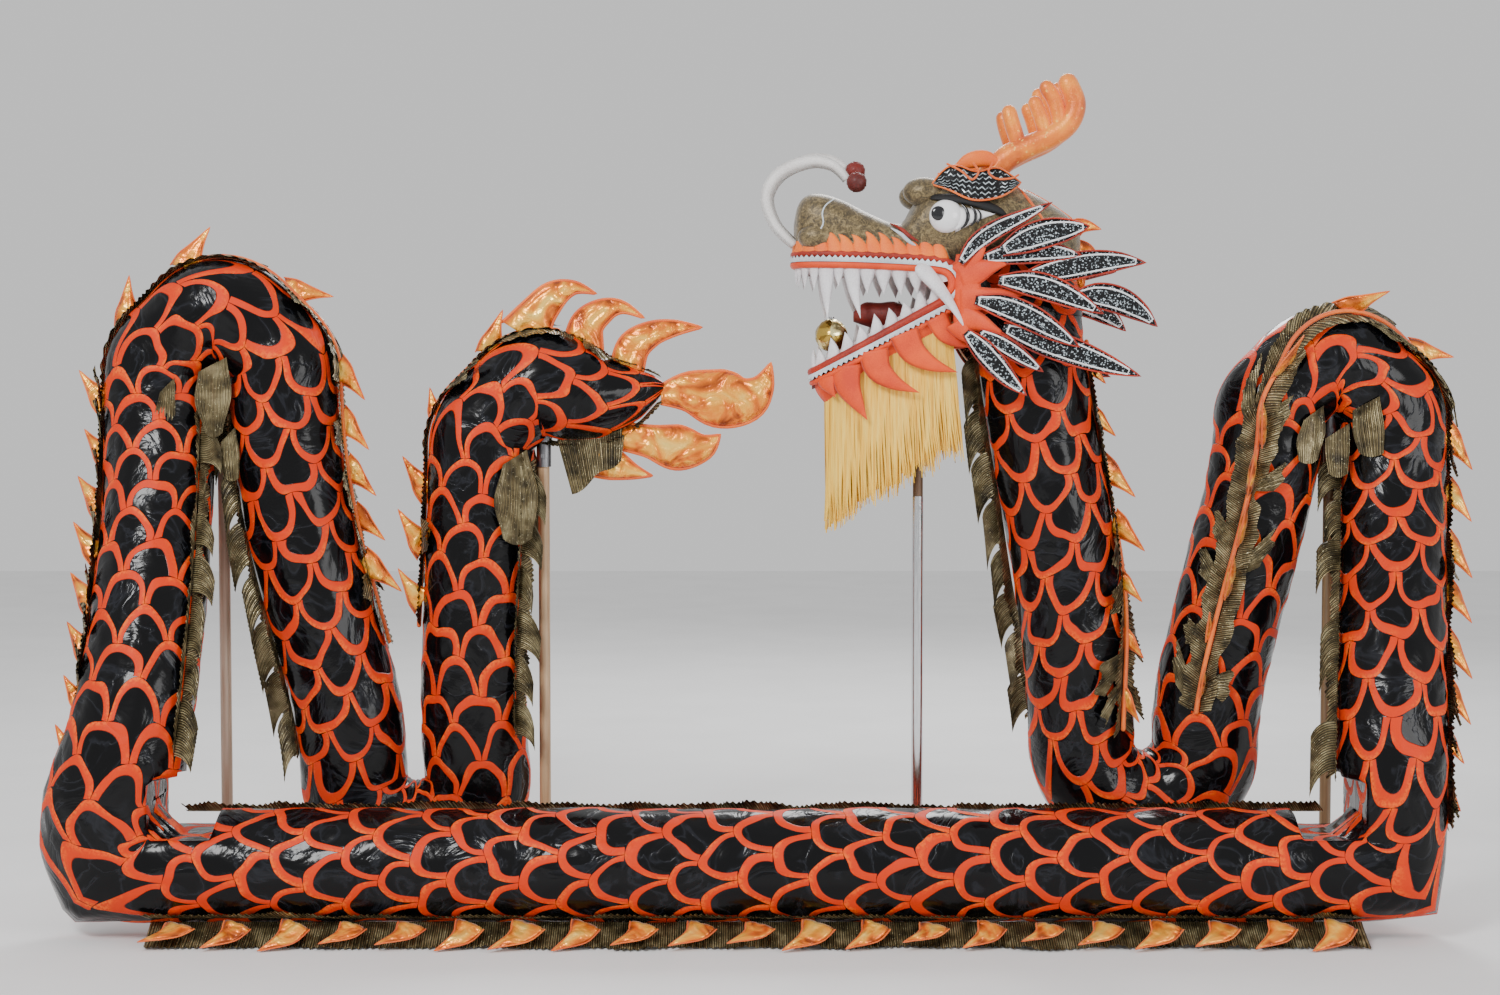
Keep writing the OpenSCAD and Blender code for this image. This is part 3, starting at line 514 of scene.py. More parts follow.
def smooth_line(points, count):
    """count + 1 points on a smooth curve through the given ones, of any dimension"""
    last = len(points) - 1
    out = []
    for i in range(count + 1):
        place = last * i / count
        k = min(int(place), last - 1)
        f = place - k
        a, b, c, d = (points[min(max(k + o, 0), last)] for o in (-1, 0, 1, 2))
        single = not hasattr(b, "__len__")
        row = []
        for p, q, r, s in zip(*(((x,) if single else x) for x in (a, b, c, d))):
            square = 2 * p - 5 * q + 4 * r - s
            cube = 3 * q - p - 3 * r + s
            row.append(0.5 * (2 * q + (r - p) * f + square * f * f + cube * f**3))
        out.append(row[0] if single else tuple(row))
    return out


def direction(points, i):
    return (Vector(points[min(i + 1, len(points) - 1)]) - Vector(points[max(i - 1, 0)])).normalized()


def tube(shape, points, radius, sides=10, slot=0, flat=1.0, round_ends=True):
    """A rod along points; radius is a number or one number for each point"""
    last = len(points) - 1
    radii = radius if hasattr(radius, "__len__") else [radius] * (last + 1)
    t = direction(points, 0)
    up = t.orthogonal().normalized()
    rows = []
    stations = [(i, 1.0, 0.0) for i in range(last + 1)]
    if round_ends:
        caps = ((0.0, 1.0), (0.5, 0.87), (0.87, 0.5))
        stations = [(0, w, -o) for w, o in caps] + stations + [(last, w, o) for w, o in reversed(caps)]
    else:
        stations = [(0, 0.0, 0.0)] + stations + [(last, 0.0, 0.0)]
    uvs = []
    for i, wide, out in stations:
        t = direction(points, i)
        up = (up - t * up.dot(t)).normalized()
        side = t.cross(up)
        centre = Vector(points[i]) + t * out * radii[i]
        row = []
        for j in range(sides):
            a = 2 * math.pi * j / sides
            row.append(centre + wide * radii[i] * (math.cos(a) * up + flat * math.sin(a) * side))
            uvs.append((j / sides, i / max(last, 1)))
        rows.append(row)
    shape.grid(rows, uvs, slot, closed=True)


def blade(
    shape, spine, left, right, thick, place, steps=16, across=8, slot=0, crease=0.0, piping=None, cord=None,
):
    """A padded leaf. spine holds (x, y) points, left and right its half widths along them, and place turns
    (x, y, height) into a point. piping and cord are (radius, material index) of its edge and inset lines.
    Returns the points of its edge"""
    line = smooth_line(spine, steps)
    wide = [smooth_line(left, steps), smooth_line(right, steps)]
    rows = []
    uvs = []
    edges = [[], []]
    inset = [[], []]
    for i in range(steps + 1):
        t = direction([(*p, 0) for p in line], i)
        n = Vector((-t.y, t.x))
        halves = [max(w[i], 0.0002) for w in wide]
        middle = Vector(line[i])
        swell = min(thick / 2, 0.55 * min(halves))
        row = []
        for side in (1, -1):
            for j in range(across + 1) if side > 0 else range(across - 1, 0, -1):
                w = 2 * j / across - 1
                at = middle + n * (w * halves[0] if w > 0 else w * halves[1])
                puff = swell * math.sqrt(max(0.0, 1 - w * w)) * (1 - crease * math.exp(-((w / 0.16) ** 2)))
                row.append(place(at.x, at.y, side * puff))
                uvs.append(((w + 1) / 2, i / steps))
        rows.append(row)
        for k, sign in enumerate((1, -1)):
            at = middle + n * sign * halves[k]
            edges[k].append(place(at.x, at.y, 0))
            near = middle + n * sign * halves[k] * 0.66
            inset[k].append([place(near.x, near.y, side * swell * 0.8) for side in (1, -1)])
    shape.grid(rows, uvs, slot, closed=True)
    shape.cap(len(shape.verts) - len(rows) * len(rows[0]), len(rows[0]), slot)
    outline = edges[0] + edges[1][-2::-1]
    if piping:
        tube(shape, outline, piping[0], 6, piping[1])
    if cord:
        low, high = 1, steps - 1
        for side in (0, 1):
            loop = [p[side] for p in inset[0][low:high] + inset[1][high - 1 : low - 1 : -1]]
            tube(shape, loop + [loop[0]], cord[0], 6, cord[1])
    return outline


def ball(shape, centre, size, slot=0, rings=14, sides=20, bend=None):
    """An egg of the given half sizes; bend moves each of its points"""
    rows = []
    for i in range(rings + 1):
        a = math.pi * i / rings
        row = []
        for j in range(sides):
            b = 2 * math.pi * j / sides
            unit = Vector((math.sin(a) * math.cos(b), math.sin(a) * math.sin(b), math.cos(a)))
            if bend:
                unit = unit * bend(unit)
            row.append(Vector(centre) + Vector((unit.x * size[0], unit.y * size[1], unit.z * size[2])))
        rows.append(row)
    uvs = [(j / sides, i / rings) for i in range(rings + 1) for j in range(sides)]
    shape.grid(rows, uvs, slot, closed=True)


# ---------------------------------------------------------------- the sleeve's centreline, head to tail
SLEEVE_R = 0.118
BEND_R = 0.136  # centreline's radius in a crown, a trough or the tail's elbow
SOCKET_TOP = 0.008  # a pole's top stands this far above its bend's centre
STEP = 0.009  # spacing of rings
ROW = 0.0735  # pitch of the rows of scales
COLUMNS = 7  # scales round the sleeve
SIDES = 105  # faces round the sleeve

right_trough = JOINTS["right_trough_swing"]
left_trough = JOINTS["left_trough_swing"]
right_corner = JOINTS["right_corner_swing"]
left_corner = JOINTS["left_corner_swing"]
BULGE = 0.058  # the cloth hangs out past the left corner by this much
FLOOR_Y = right_corner.y
FLOOR_Z = right_corner.z
CORNER_TOP = 0.300  # height where a corner's upright part ends
CORNER_R = 0.07  # centreline's radius in a corner
TAIL_LENGTH = 0.264
SHOULDER = 0.015  # how far a bend's shoulders sag inward beside its pole


def bend_centre(pole):
    low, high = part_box(pole)
    return Vector(((low.x + high.x) / 2, 0, high.z - SOCKET_TOP))


right_crown = bend_centre("right_pole")
left_crown = bend_centre("left_pole")
tail_elbow = bend_centre("tail_pole")
TAIL_Z = tail_elbow.z + BEND_R


def point(x, y, z):
    return Vector((x, y, z))


def bezier(c, t):
    return c[0] * (1 - t) ** 3 + c[1] * 3 * t * (1 - t) ** 2 + c[2] * 3 * t * t * (1 - t) + c[3] * t**3


def leg(a, b, c, d):
    count = max(4, round((d - a).length / STEP))
    return [bezier((a, b, c, d), i / count) for i in range(count + 1)]


def arc(centre, radius, start, end, plane_y, sag=0.0):
    """Points on an arc seen from -Y; angles in degrees from +X toward +Z. sag pulls in its shoulders"""
    count = max(4, round(abs(math.radians(end - start)) * radius / STEP))
    if radius > 0.1:
        count = round(count * 1.3)
    out = []
    for i in range(count + 1):
        a = math.radians(start + (end - start) * i / count)
        r = radius - sag * math.sin(2 * a) ** 2
        out.append(point(centre[0] + r * math.cos(a), plane_y, centre[1] + r * math.sin(a)))
    return out


def straight(a, b):
    count = max(1, round((b - a).length / STEP))
    return [a.lerp(b, i / count) for i in range(count + 1)]


def tail_line():
    """The cone's axis, which droops a little between the elbow and the tip"""
    count = 30
    out = []
    for i in range(count + 1):
        f = i / count
        droop = 0.022 * math.sin(math.pi * f) ** 1.5 + 0.004 * f
        out.append(point(tail_elbow.x + TAIL_LENGTH * f, 0, TAIL_Z - droop))
    return out


def stretches():
    """The centreline's named stretches, from the head to the tail's tip"""
    rt, lt, rc, lc = right_trough, left_trough, right_crown, left_crown
    low = FLOOR_Z + CORNER_R

    def mid(x, z):
        """A point in the plane of the head and the poles"""
        return point(x, 0, z)

    def front(x, z):
        """A point in the plane of the floor run"""
        return point(x, FLOOR_Y, z)

    def beside(centre, side, z):
        """A point level with z and a bend's radius from its centre, on the side of -X or +X"""
        return mid(centre.x + side * BEND_R, z)

    neck = leg(mid(0.24, 1.318), mid(0.25, 1.04), beside(rt, -1, 0.7), beside(rt, -1, rt.z))
    right_rise = leg(
        beside(rt, 1, rt.z),
        beside(rt, 1, rt.z + 0.2),
        beside(rc, -1, rc.z - 0.19),
        beside(rc, -1, rc.z),
    )
    right_fall = leg(
        beside(rc, 1, rc.z),
        beside(rc, 1, 0.8),
        front(right_corner.x, 0.56),
        front(right_corner.x, CORNER_TOP),
    )
    right_drop = straight(front(right_corner.x, CORNER_TOP), front(right_corner.x, low))
    right_turn = arc((right_corner.x - CORNER_R, low), CORNER_R, 0, -90, FLOOR_Y)
    floor = straight(
        front(right_corner.x - CORNER_R, FLOOR_Z),
        front(left_corner.x + CORNER_R, FLOOR_Z),
    )
    left_turn = arc((left_corner.x + CORNER_R, low), CORNER_R, 270, 180, FLOOR_Y)
    left_climb = straight(front(left_corner.x, low), front(left_corner.x, CORNER_TOP))
    left_rise = leg(
        front(left_corner.x, CORNER_TOP),
        front(left_corner.x + 0.056, 0.6),
        mid(lc.x - BEND_R - 0.002, 0.88),
        beside(lc, -1, lc.z),
    )
    left_fall = leg(
        beside(lc, 1, lc.z),
        beside(lc, 1, 0.76),
        mid(lt.x - BEND_R - 0.006, 0.56),
        beside(lt, -1, lt.z),
    )
    tail_rise = leg(
        beside(lt, 1, lt.z),
        mid(lt.x + BEND_R - 0.024, 0.52),
        beside(tail_elbow, -1, 0.78),
        beside(tail_elbow, -1, tail_elbow.z),
    )
    return [
        ("neck", neck),
        ("right_trough", arc((rt.x, rt.z), BEND_R, 180, 360, 0)),
        ("right_rise", right_rise),
        ("right_crown", arc((rc.x, rc.z), BEND_R, 180, 0, 0, SHOULDER)),
        ("right_fall", right_fall),
        ("right_corner", right_drop[:-1] + right_turn),
        ("floor", floor),
        ("left_corner", left_turn[:-1] + left_climb),
        ("left_rise", left_rise),
        ("left_crown", arc((lc.x, lc.z), BEND_R, 180, 0, 0, SHOULDER)),
        ("left_fall", left_fall),
        ("left_trough", arc((lt.x, lt.z), BEND_R, 180, 360, 0)),
        ("tail_rise", tail_rise),
        ("tail_elbow", arc((tail_elbow.x, tail_elbow.z), BEND_R, 180, 90, 0, SHOULDER)),
        ("tail_cone", tail_line()),
    ]


class Centreline:
    def __init__(self):
        self.points = []
        self.starts = {}
        for name, points in stretches():
            first = len(self.points) - 1 if self.points else 0
            self.points += points if not self.points else points[1:]
            self.starts[name] = (max(first, 0), len(self.points) - 1)
        self.length = [0.0]
        for a, b in zip(self.points, self.points[1:]):
            self.length.append(self.length[-1] + (b - a).length)
        self.along = [direction(self.points, i) for i in range(len(self.points))]
        self.twists = [self.twist(i) for i in range(len(self.points))]

    def at(self, name, share):
        """Arc length at a share of a stretch"""
        a, b = self.starts[name]
        place = a + (b - a) * share
        k = min(int(place), len(self.length) - 2)
        return self.length[k] + (self.length[k + 1] - self.length[k]) * (place - k)

    def twist(self, i):
        """Degrees that the back is turned toward the viewer"""
        for name, (a, b) in self.starts.items():
            if a <= i <= b:
                share = (i - a) / (b - a)
                low, high = TWISTS.get(name, (0, 0))
                begin = TWIST_BEGINS.get(name, 0.0)
                if share <= begin:
                    return low
                f = (share - begin) / (1 - begin)
                return low + (high - low) * f * f * (3 - 2 * f)
        return 0

    def frame(self, s):
        """Centre, travel direction, back direction, side direction and radius at an arc length"""
        s = min(max(s, 0.0), self.length[-1])
        k = min(max(bisect.bisect_right(self.length, s) - 1, 0), len(self.length) - 2)
        f = (s - self.length[k]) / (self.length[k + 1] - self.length[k])
        t = self.along[k].lerp(self.along[k + 1], f).normalized()
        b = t.cross(Vector((0, 1, 0))).normalized()
        side = t.cross(b)
        a = math.radians(self.twists[k] + (self.twists[k + 1] - self.twists[k]) * f)
        back = b * math.cos(a) + side * math.sin(a)
        return self.points[k].lerp(self.points[k + 1], f), t, back, t.cross(back), self.radius(s)

    def radius(self, s):
        end = self.length[-1]
        begin = self.at("tail_cone", 0)
        if s < begin:
            return SLEEVE_R * (1 - 0.05 * self.shoulder(s))
        taper = [(0, 0.118), (0.22, 0.113), (0.48, 0.094), (0.75, 0.062), (0.93, 0.03), (1.0, 0.012)]
        f = (s - begin) / (end - begin)
        for (x0, r0), (x1, r1) in zip(taper, taper[1:]):
            if f <= x1 + 1e-6:
                return r0 + (r1 - r0) * (f - x0) / (x1 - x0)
        return taper[-1][1]

    def shoulder(self, s):
        """1 beside a pole where the cloth sags between the hoop and the leg, falling to 0 away from it"""
        for name, wide in (("right_crown", 1.0), ("left_crown", 1.0), ("tail_elbow", 2.0)):
            a, b = self.starts[name]
            f = (s - self.length[a]) / ((self.length[b] - self.length[a]) * wide)
            if 0 < f < 1 / wide:
                return math.sin(2 * math.pi * f) ** 2
        return 0.0

    def place(self, s, angle, lift=0.0):
        """A point on the sleeve: angle in degrees from the back, lift above the cloth"""
        centre, _, back, side, r = self.frame(s)
        a = math.radians(angle)
        return centre + (r + lift) * (math.cos(a) * back + math.sin(a) * side)


# Twist of the back at each stretch's start and end, and the share of the stretch where it begins to change
TWISTS = {
    "neck": (0, 52),
    "right_trough": (52, 68),
    "right_rise": (68, 68),
    "right_crown": (68, 0),
    "right_corner": (0, 34),
    "floor": (34, 34),
    "left_corner": (34, 0),
}
TWIST_BEGINS = {"neck": 0.42}
LINE = Centreline()


def scale_height(u, v):
    """Relief of the net of scales, the same pattern as in the material"""
    row = math.floor(v)
    depth = v - row
    half = (u + 0.5 * (row % 2)) % 1 - 0.5
    far = math.hypot(2 * half, depth)
    rise = min(max((far - 0.60) / 0.2, 0), 1)
    fall = min(max((1.04 - far) / 0.08, 0), 1)
    return rise * rise * (3 - 2 * rise) * fall


def skin(section):
    """The cloth of a section, with UVs that count scales"""
    s0, s1 = section.begin, section.end
    stations = [s0] + [s for s in LINE.length if s0 + 0.003 < s < s1 - 0.003] + [s1]
    rows = []
    uvs = []
    for s in stations:
        centre, _, back, side, r = LINE.frame(s)
        row = []
        for j in range(SIDES + 1):
            a = 2 * math.pi * j / SIDES
            ring = Vector((math.cos(a), math.sin(a), 0))
            probe = Vector((ring.x * 1.3, ring.y * 1.3, s * 7))
            u = COLUMNS * j / SIDES + 0.16 * noise.noise(probe * 1.7)
            v = s / ROW + 0.26 * noise.noise(probe * 1.7 + Vector((9, 4, 2)))
            taper = r / SLEEVE_R
            lift = 0.0012 * scale_height(u, v)
            lift += 0.0042 * noise.noise(Vector((ring.x * 1.6, ring.y * 1.6, s * 6.5)))
            lift += 0.0018 * noise.noise(Vector((ring.x * 5, ring.y * 5, s * 26)))
            out = math.cos(a) * back + math.sin(a) * side
            row.append(clear_of_fold(centre + (r - 0.001 + lift * taper) * out))
            uvs.append((u, v))
        rows.append(row)
    shape = Shape()
    shape.grid(rows, uvs)
    drop_pole_holes(shape)
    sleeve = section.name + "_sleeve"
    piece = shape.build(section.name + "_skin", section.body, ["scales"], 0.00001, [sleeve])
    section.bind(piece)


def clear_of_fold(spot):
    """Shapes the two floor corners: square outside, and not passing through themselves inside"""
    outside = left_corner.x - spot.x
    if outside > 0 and spot.z < 0.66 and spot.y < 0:
        low = min(max((0.66 - spot.z) / 0.5, 0), 1)
        spot.x -= BULGE * low * low * (3 - 2 * low) * min(outside / SLEEVE_R, 1)
    for centre, way in ((right_corner, -1), (left_corner, 1)):
        inner_x = centre.x + way * CORNER_R
        inner_z = FLOOR_Z + CORNER_R
        out_x = (inner_x - spot.x) * way
        out_z = inner_z - spot.z
        if abs(spot.x - centre.x) > 0.3 or spot.z > 0.5:
            continue
        if out_x < 0 and out_z < 0 and abs(spot.x - centre.x) < 0.2 and spot.z < 0.34:
            if -out_x < -out_z:
                spot.x = inner_x
            else:
                spot.z = inner_z
        elif out_x > 0 and out_z > 0:
            square = (math.hypot(out_x, out_z) / max(out_x, out_z)) ** 0.72
            spot.x = inner_x - way * out_x * square
            spot.z = inner_z - out_z * square
    return spot


def drop_pole_holes(shape):
    """Opens the inner side of a crown where its pole goes in"""
    keep_faces = []
    keep_slots = []
    for face, slot in zip(shape.faces, shape.slots):
        middle = sum((Vector(shape.verts[i]) for i in face), Vector()) / len(face)
        inside = False
        for centre in (right_crown, left_crown, tail_elbow):
            flat = math.hypot(middle.x - centre.x, middle.y - centre.y)
            if flat < 0.022 and centre.z - 0.05 < middle.z < centre.z + 0.05:
                inside = True
        if not inside:
            keep_faces.append(face)
            keep_slots.append(slot)
    shape.faces = keep_faces
    shape.slots = keep_slots


class Section:
    """A length of the sleeve that rides one body, or that lies over the zone between two bodies and rides
    neither
    """

    def __init__(self, name, begin, end, bodies, bend):
        self.name = name
        self.begin = LINE.at(*begin)
        self.end = LINE.at(*end)
        self.bodies = bodies
        self.zone = bend
        self.body = None if bend else bodies[0]

    def bind(self, piece):
        if self.zone:
            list(self.bodies)
            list(self.zone)
            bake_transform(piece)


def zone(centre, low, high):
    """From low to high, each (x, z) away from centre"""
    return [point(centre.x + x, centre.y, centre.z + z) for x, z in (low, high)]


def sections():
    neck_zone = (point(0.24, 0, 1.03), point(0.24, 0, 1.30))
    right_trough_zone = zone(right_trough, (-0.06, 0), (0.06, 0))
    right_corner_zone = zone(right_corner, (-0.05, -0.05), (0.05, 0.05))
    left_corner_zone = zone(left_corner, (0.05, -0.05), (-0.05, 0.05))
    left_trough_zone = zone(left_trough, (-0.06, 0), (0.028, 0))
    tail_zone = zone(tail_elbow, (-0.05, -0.05), (0.02, 0.02))
    table = [
        ("neck_top", "neck", 0.0, ("neck", "head"), neck_zone),
        ("neck", "neck", 0.34, ("neck",), None),
        ("right_trough", "neck", 0.56, ("neck", "right_arch"), right_trough_zone),
        ("right_arch", "right_rise", 0.46, ("right_arch",), None),
        ("right_corner", "right_fall", 0.72, ("floor_run", "right_arch"), right_corner_zone),
        ("floor", "floor", 0.12, ("floor_run",), None),
        ("left_corner", "floor", 0.88, ("floor_run", "left_arch"), left_corner_zone),
        ("left_arch", "left_rise", 0.28, ("left_arch",), None),
        ("left_trough", "left_fall", 0.55, ("left_arch", "tail_rise"), left_trough_zone),
        ("tail_rise", "tail_rise", 0.35, ("tail_rise",), None),
        ("tail_elbow", "tail_rise", 0.88, ("tail_rise", "tail"), tail_zone),
        ("tail_cone", "tail_elbow", 0.69, ("tail",), None),
    ]
    starts = [row[1:3] for row in table] + [("tail_cone", 1.0)]
    return [Section(row[0], starts[i], starts[i + 1], *row[3:]) for i, row in enumerate(table)]


# ---------------------------------------------------------------- ruffles and fins along the sleeve
FIN_PITCH = 0.118
PLEAT = 0.0115  # width of one pleat


def strip(shape, s0, s1, angle, turn, high, seed=0):
    """A pleated ruffle sewn along an angle. Its hem swings round the sleeve by about turn degrees and stands
    about high metres off it, both uneven"""

    def spot(share, f):
        s = s0 + (s1 - s0) * share
        slow = noise.noise(Vector((s * 11, angle * 0.1, seed)))
        quick = noise.noise(Vector((s * 29, angle * 0.1, seed + 7)))
        reach = 1 + 0.75 * slow + 0.45 * quick
        wave = math.sin(2 * math.pi * s / PLEAT + 0.9 * math.sin(s * 31))
        out = 0.0022 + max(high * reach * f * (1 - 0.3 * f), 0.003 * f) + 0.0024 * (1 + wave) * f
        return LINE.place(s + 0.014 * f + 0.012 * quick * f, angle + turn * reach * f, out), (s, f)

    shape.surface(max(3, round((s1 - s0) / 0.0026)), 5, spot)


def tab(shape, s, angle, way, width, length, lean, high=0.012):
    """A fan-shaped pleated flap sewn on at an angle. It swings round the sleeve in the sense of way and
    leans toward the tail"""
    crook = rng.uniform(-0.3, 0.3)

    def spot(f, share):
        w = 2 * share - 1
        wave = math.sin(w * width * math.pi * 1.6 / PLEAT) * (0.25 + 0.75 * f)
        wide = width / 2 * (0.45 + 0.75 * f)
        ragged = 1 - 0.16 * w * w + 0.10 * math.sin(w * 5 + s * 40)
        here = s + w * wide + lean * length * f * ragged + crook * wide * f * f
        down = f * length * ragged * math.sqrt(max(1 - lean**2, 0.1))
        turn = angle + way * math.degrees(down / SLEEVE_R)
        out = 0.0045 + 0.0028 * (1 + wave) + high * f * f * (1 + 0.5 * w)
        return LINE.place(here, turn, out), (w * wide * 1.4, f)

    shape.surface(9, 17, spot)


def thorn(shape, s, angle, size):
    """A padded flame-shaped fin on the back: a long sloping front edge, a hooked tip toward the tail"""
    centre, t, back, side, r = LINE.frame(s)
    a = math.radians(angle)
    out = math.cos(a) * back + math.sin(a) * side
    flank = t.cross(out)
    jitter = rng.uniform(-0.12, 0.12)

    def place(x, y, h):
        return centre + t * x + out * (r + 0.002 + y) + flank * (h + jitter * y)

    spine = [(-0.006, -0.006), (0.004, 0.010), (0.021, 0.026), (0.044, 0.043), (0.068, 0.060)]
    spine = [(x * size, y * size) for x, y in spine]
    left = [k * size for k in (0.040, 0.030, 0.017, 0.008, 0.0)]
    right = [k * size for k in (0.034, 0.026, 0.017, 0.007, 0.0)]
    blade(shape, spine, left, right, 0.016 * size, place, 12, 8, 0, 0.35, (0.0017, 1))


def ridge(shape, s0, s1):
    """Gold piping that the fins stand on"""
    count = max(2, round((s1 - s0) / 0.008))
    points = [LINE.place(s0 + (s1 - s0) * i / count, 0, 0.006) for i in range(count + 1)]
    tube(shape, points, 0.0052, 8, 1)


def trimmed_ranges():
    """Arc lengths between which the back carries ruffle and fins"""
    at = LINE.at
    return [
        (at("neck", 0.10), at("neck", 0.96)),
        (at("right_rise", 0.12), at("right_corner", 0.30)),
        (at("floor", 0.0), at("floor", 1.0)),
        (at("left_rise", 0.02), at("left_fall", 0.66)),
        (at("tail_rise", 0.45), at("tail_cone", 0.05)),
    ]


def overlap(a0, a1, b0, b1):
    low = max(a0, b0)
    high = min(a1, b1)
    return (low, high) if high - low > 0.02 else None


RUFFLE_NODES = {
    "neck": ["neck_ruffles"],
    "right_arch": ["right_arch_ruffles"],
    "floor": ["floor_ruffle", "floor_seam_trim"],
    "left_arch": ["left_arch_ruffles"],
    "tail_rise": ["tail_rise_ruffles"],
}


def back_fin(ruffle, fins, s, size):
    """A thorn of the back with the flaps that may hang beside it"""
    thorn(fins, s, rng.uniform(-6, 6), rng.uniform(0.88, 1.06) * size)
    for way in (-1, 1):
        if rng.random() < 0.8:
            place = s + rng.uniform(-0.03, 0.04)
            length = rng.uniform(0.045, 0.085)
            width = rng.uniform(0.045, 0.07)
            tab(ruffle, place, way * 7, way, width, length, rng.uniform(0.5, 0.85))


def trim_back(section, ruffle, fins):
    """Ruffle and fins along the back of a section"""
    floor_begin = LINE.at("floor", 0.0)
    bare_from = LINE.at("left_fall", 0.54)  # thorns any nearer the left trough would meet
    bare_to = LINE.at("tail_rise", 0.52)
    for r0, r1 in trimmed_ranges():
        both = overlap(section.begin, section.end, r0, r1)
        if not both:
            continue
        on_floor = r0 == floor_begin
        if on_floor:
            floor_skirt(ruffle, *both)
        else:
            for way in (-1, 1):
                strip(ruffle, *both, way * 3, way * 12, 0.010, way)
            ridge(fins, *both)
        count = round((r1 - r0) / FIN_PITCH)
        for i in range(count):
            s = r0 + (i + 0.5) * (r1 - r0) / count
            if not both[0] <= s < both[1]:
                continue
            if on_floor:
                floor_thorn(fins, s)
            elif not bare_from < s < bare_to:
                back_fin(ruffle, fins, s, 0.66 if section.zone else 1)


def dress(section):
    """Ruffles and fins of one section of the sleeve"""
    name = section.name
    ruffle = Shape()
    fins = Shape()
    trim_back(section, ruffle, fins)
    belly_ruffle(ruffle, section.begin, section.end)
    if ruffle.faces:
        nodes = RUFFLE_NODES.get(name, ())
        piece = ruffle.build(name + "_ruffle", section.body, ["lame"], stands_for=nodes)
        section.bind(piece)
    if fins.faces:
        looks = ["satin", "piping"]
        nodes = [name + "_fins"] if name in RUFFLE_NODES else ()
        piece = fins.build(name + "_thorns", section.body, looks, stands_for=nodes)
        section.bind(piece)


def belly_ranges():
    """Arc lengths and angle of the belly seam's ruffle, how far it stands and how often a flap hangs"""
    at = LINE.at
    return [
        (at("neck", 0.10), at("neck", 0.94), 172, 0.022, 1.0),
        (at("right_rise", 0.20), at("right_rise", 0.85), 160, 0.018, 0.7),
        (at("right_fall", 0.10), at("right_fall", 0.95), 168, 0.014, 0.8),
        (at("floor", 0.02), at("floor", 0.98), 178, 0.012, 0.0),
        (at("left_rise", 0.10), at("left_rise", 0.97), 150, 0.012, 0.8),
        (at("left_fall", 0.06), at("left_fall", 0.92), 156, 0.016, 1.0),
        (at("tail_rise", 0.12), at("tail_rise", 0.95), 146, 0.016, 1.0),
    ]


def belly_ruffle(shape, s0, s1):
    for b0, b1, angle, high, share in belly_ranges():
        both = overlap(s0, s1, b0, b1)
        if not both:
            continue
        for way in (-1, 1):
            strip(shape, both[0], both[1], angle + way, way * 8, high, way)
        count = round((b1 - b0) / 0.105)
        for i in range(count):
            s = b0 + (i + 0.5) * (b1 - b0) / count
            if both[0] <= s < both[1] and rng.random() < share:
                hanging_flap(shape, s, angle, rng.uniform(0.07, 0.115), rng.uniform(0.034, 0.056))


def hanging_flap(shape, s, angle, width, reach):
    """A pleated flap on a seam: it stands off the sleeve and its free edge hangs down"""
    swing = rng.uniform(-10, 10)

    def spot(f, share):
        w = 2 * share - 1
        wave = math.sin(w * width * math.pi * 1.5 / PLEAT)
        here = s + w * width / 2
        root = LINE.place(here, angle + swing * f, 0.002 + reach * math.sin(1.3 * f))
        t = LINE.frame(here)[1]
        flank = t.cross(Vector((0, 0, 1))) if abs(t.z) < 0.7 else Vector((0, 1, 0))
        drop = (0.048 + 0.014 * w) * f * f
        at = root + Vector((0, 0, -drop)) + flank * 0.0032 * wave * (0.3 + f)
        return at, (w * width / 2, f)

    shape.surface(7, 24, spot)


def floor_skirt(shape, s0, s1):
    """The back's ruffle on the floor run, which hangs from the sleeve down to the floor with a ragged hem"""

    def spot(share, f):
        s = s0 + (s1 - s0) * share
        top = LINE.place(s, -8, 0.001)
        slow = noise.noise(Vector((s * 7, 3, 1)))
        quick = noise.noise(Vector((s * 21, 5, 2)))
        wave = math.sin(2 * math.pi * s / 0.0145 + 1.3 * math.sin(s * 19) + f)
        y = top.y - (0.072 + 0.026 * slow + 0.014 * quick) * f + (0.001 + 0.0062 * f) * wave
        low = 0.004 + 0.012 * max(quick, 0)
        return point(top.x, y, top.z + (low - top.z) * f**0.9), (s, f)

    shape.surface(round((s1 - s0) / 0.0030), 8, spot)
    strip(shape, s0, s1, 4, 10, 0.006, 5)


def floor_thorn(shape, s):
    """A fin that stands out of the floor ruffle and leans toward the viewer"""
    x = LINE.place(s, 0).x
    base_y = FLOOR_Y - 0.104
    size = rng.uniform(0.85, 1.04)
    tilt = rng.uniform(0.30, 0.75)

    def place(a, b, h):
        return point(x - a, base_y - b * 0.85, max(0.040 - b * tilt + h, 0.004))

    spine = [(-0.006, -0.010), (0.004, 0.012), (0.021, 0.028), (0.044, 0.042), (0.066, 0.056)]
    wide = [0.038, 0.030, 0.018, 0.008, 0.0]
    spine = [(a * size, b * size) for a, b in spine]
    left = [w * size for w in wide]
    right = [0.85 * w for w in left]
    blade(shape, spine, left, right, 0.012, place, 12, 8, 0, 0.35, (0.0016, 1))


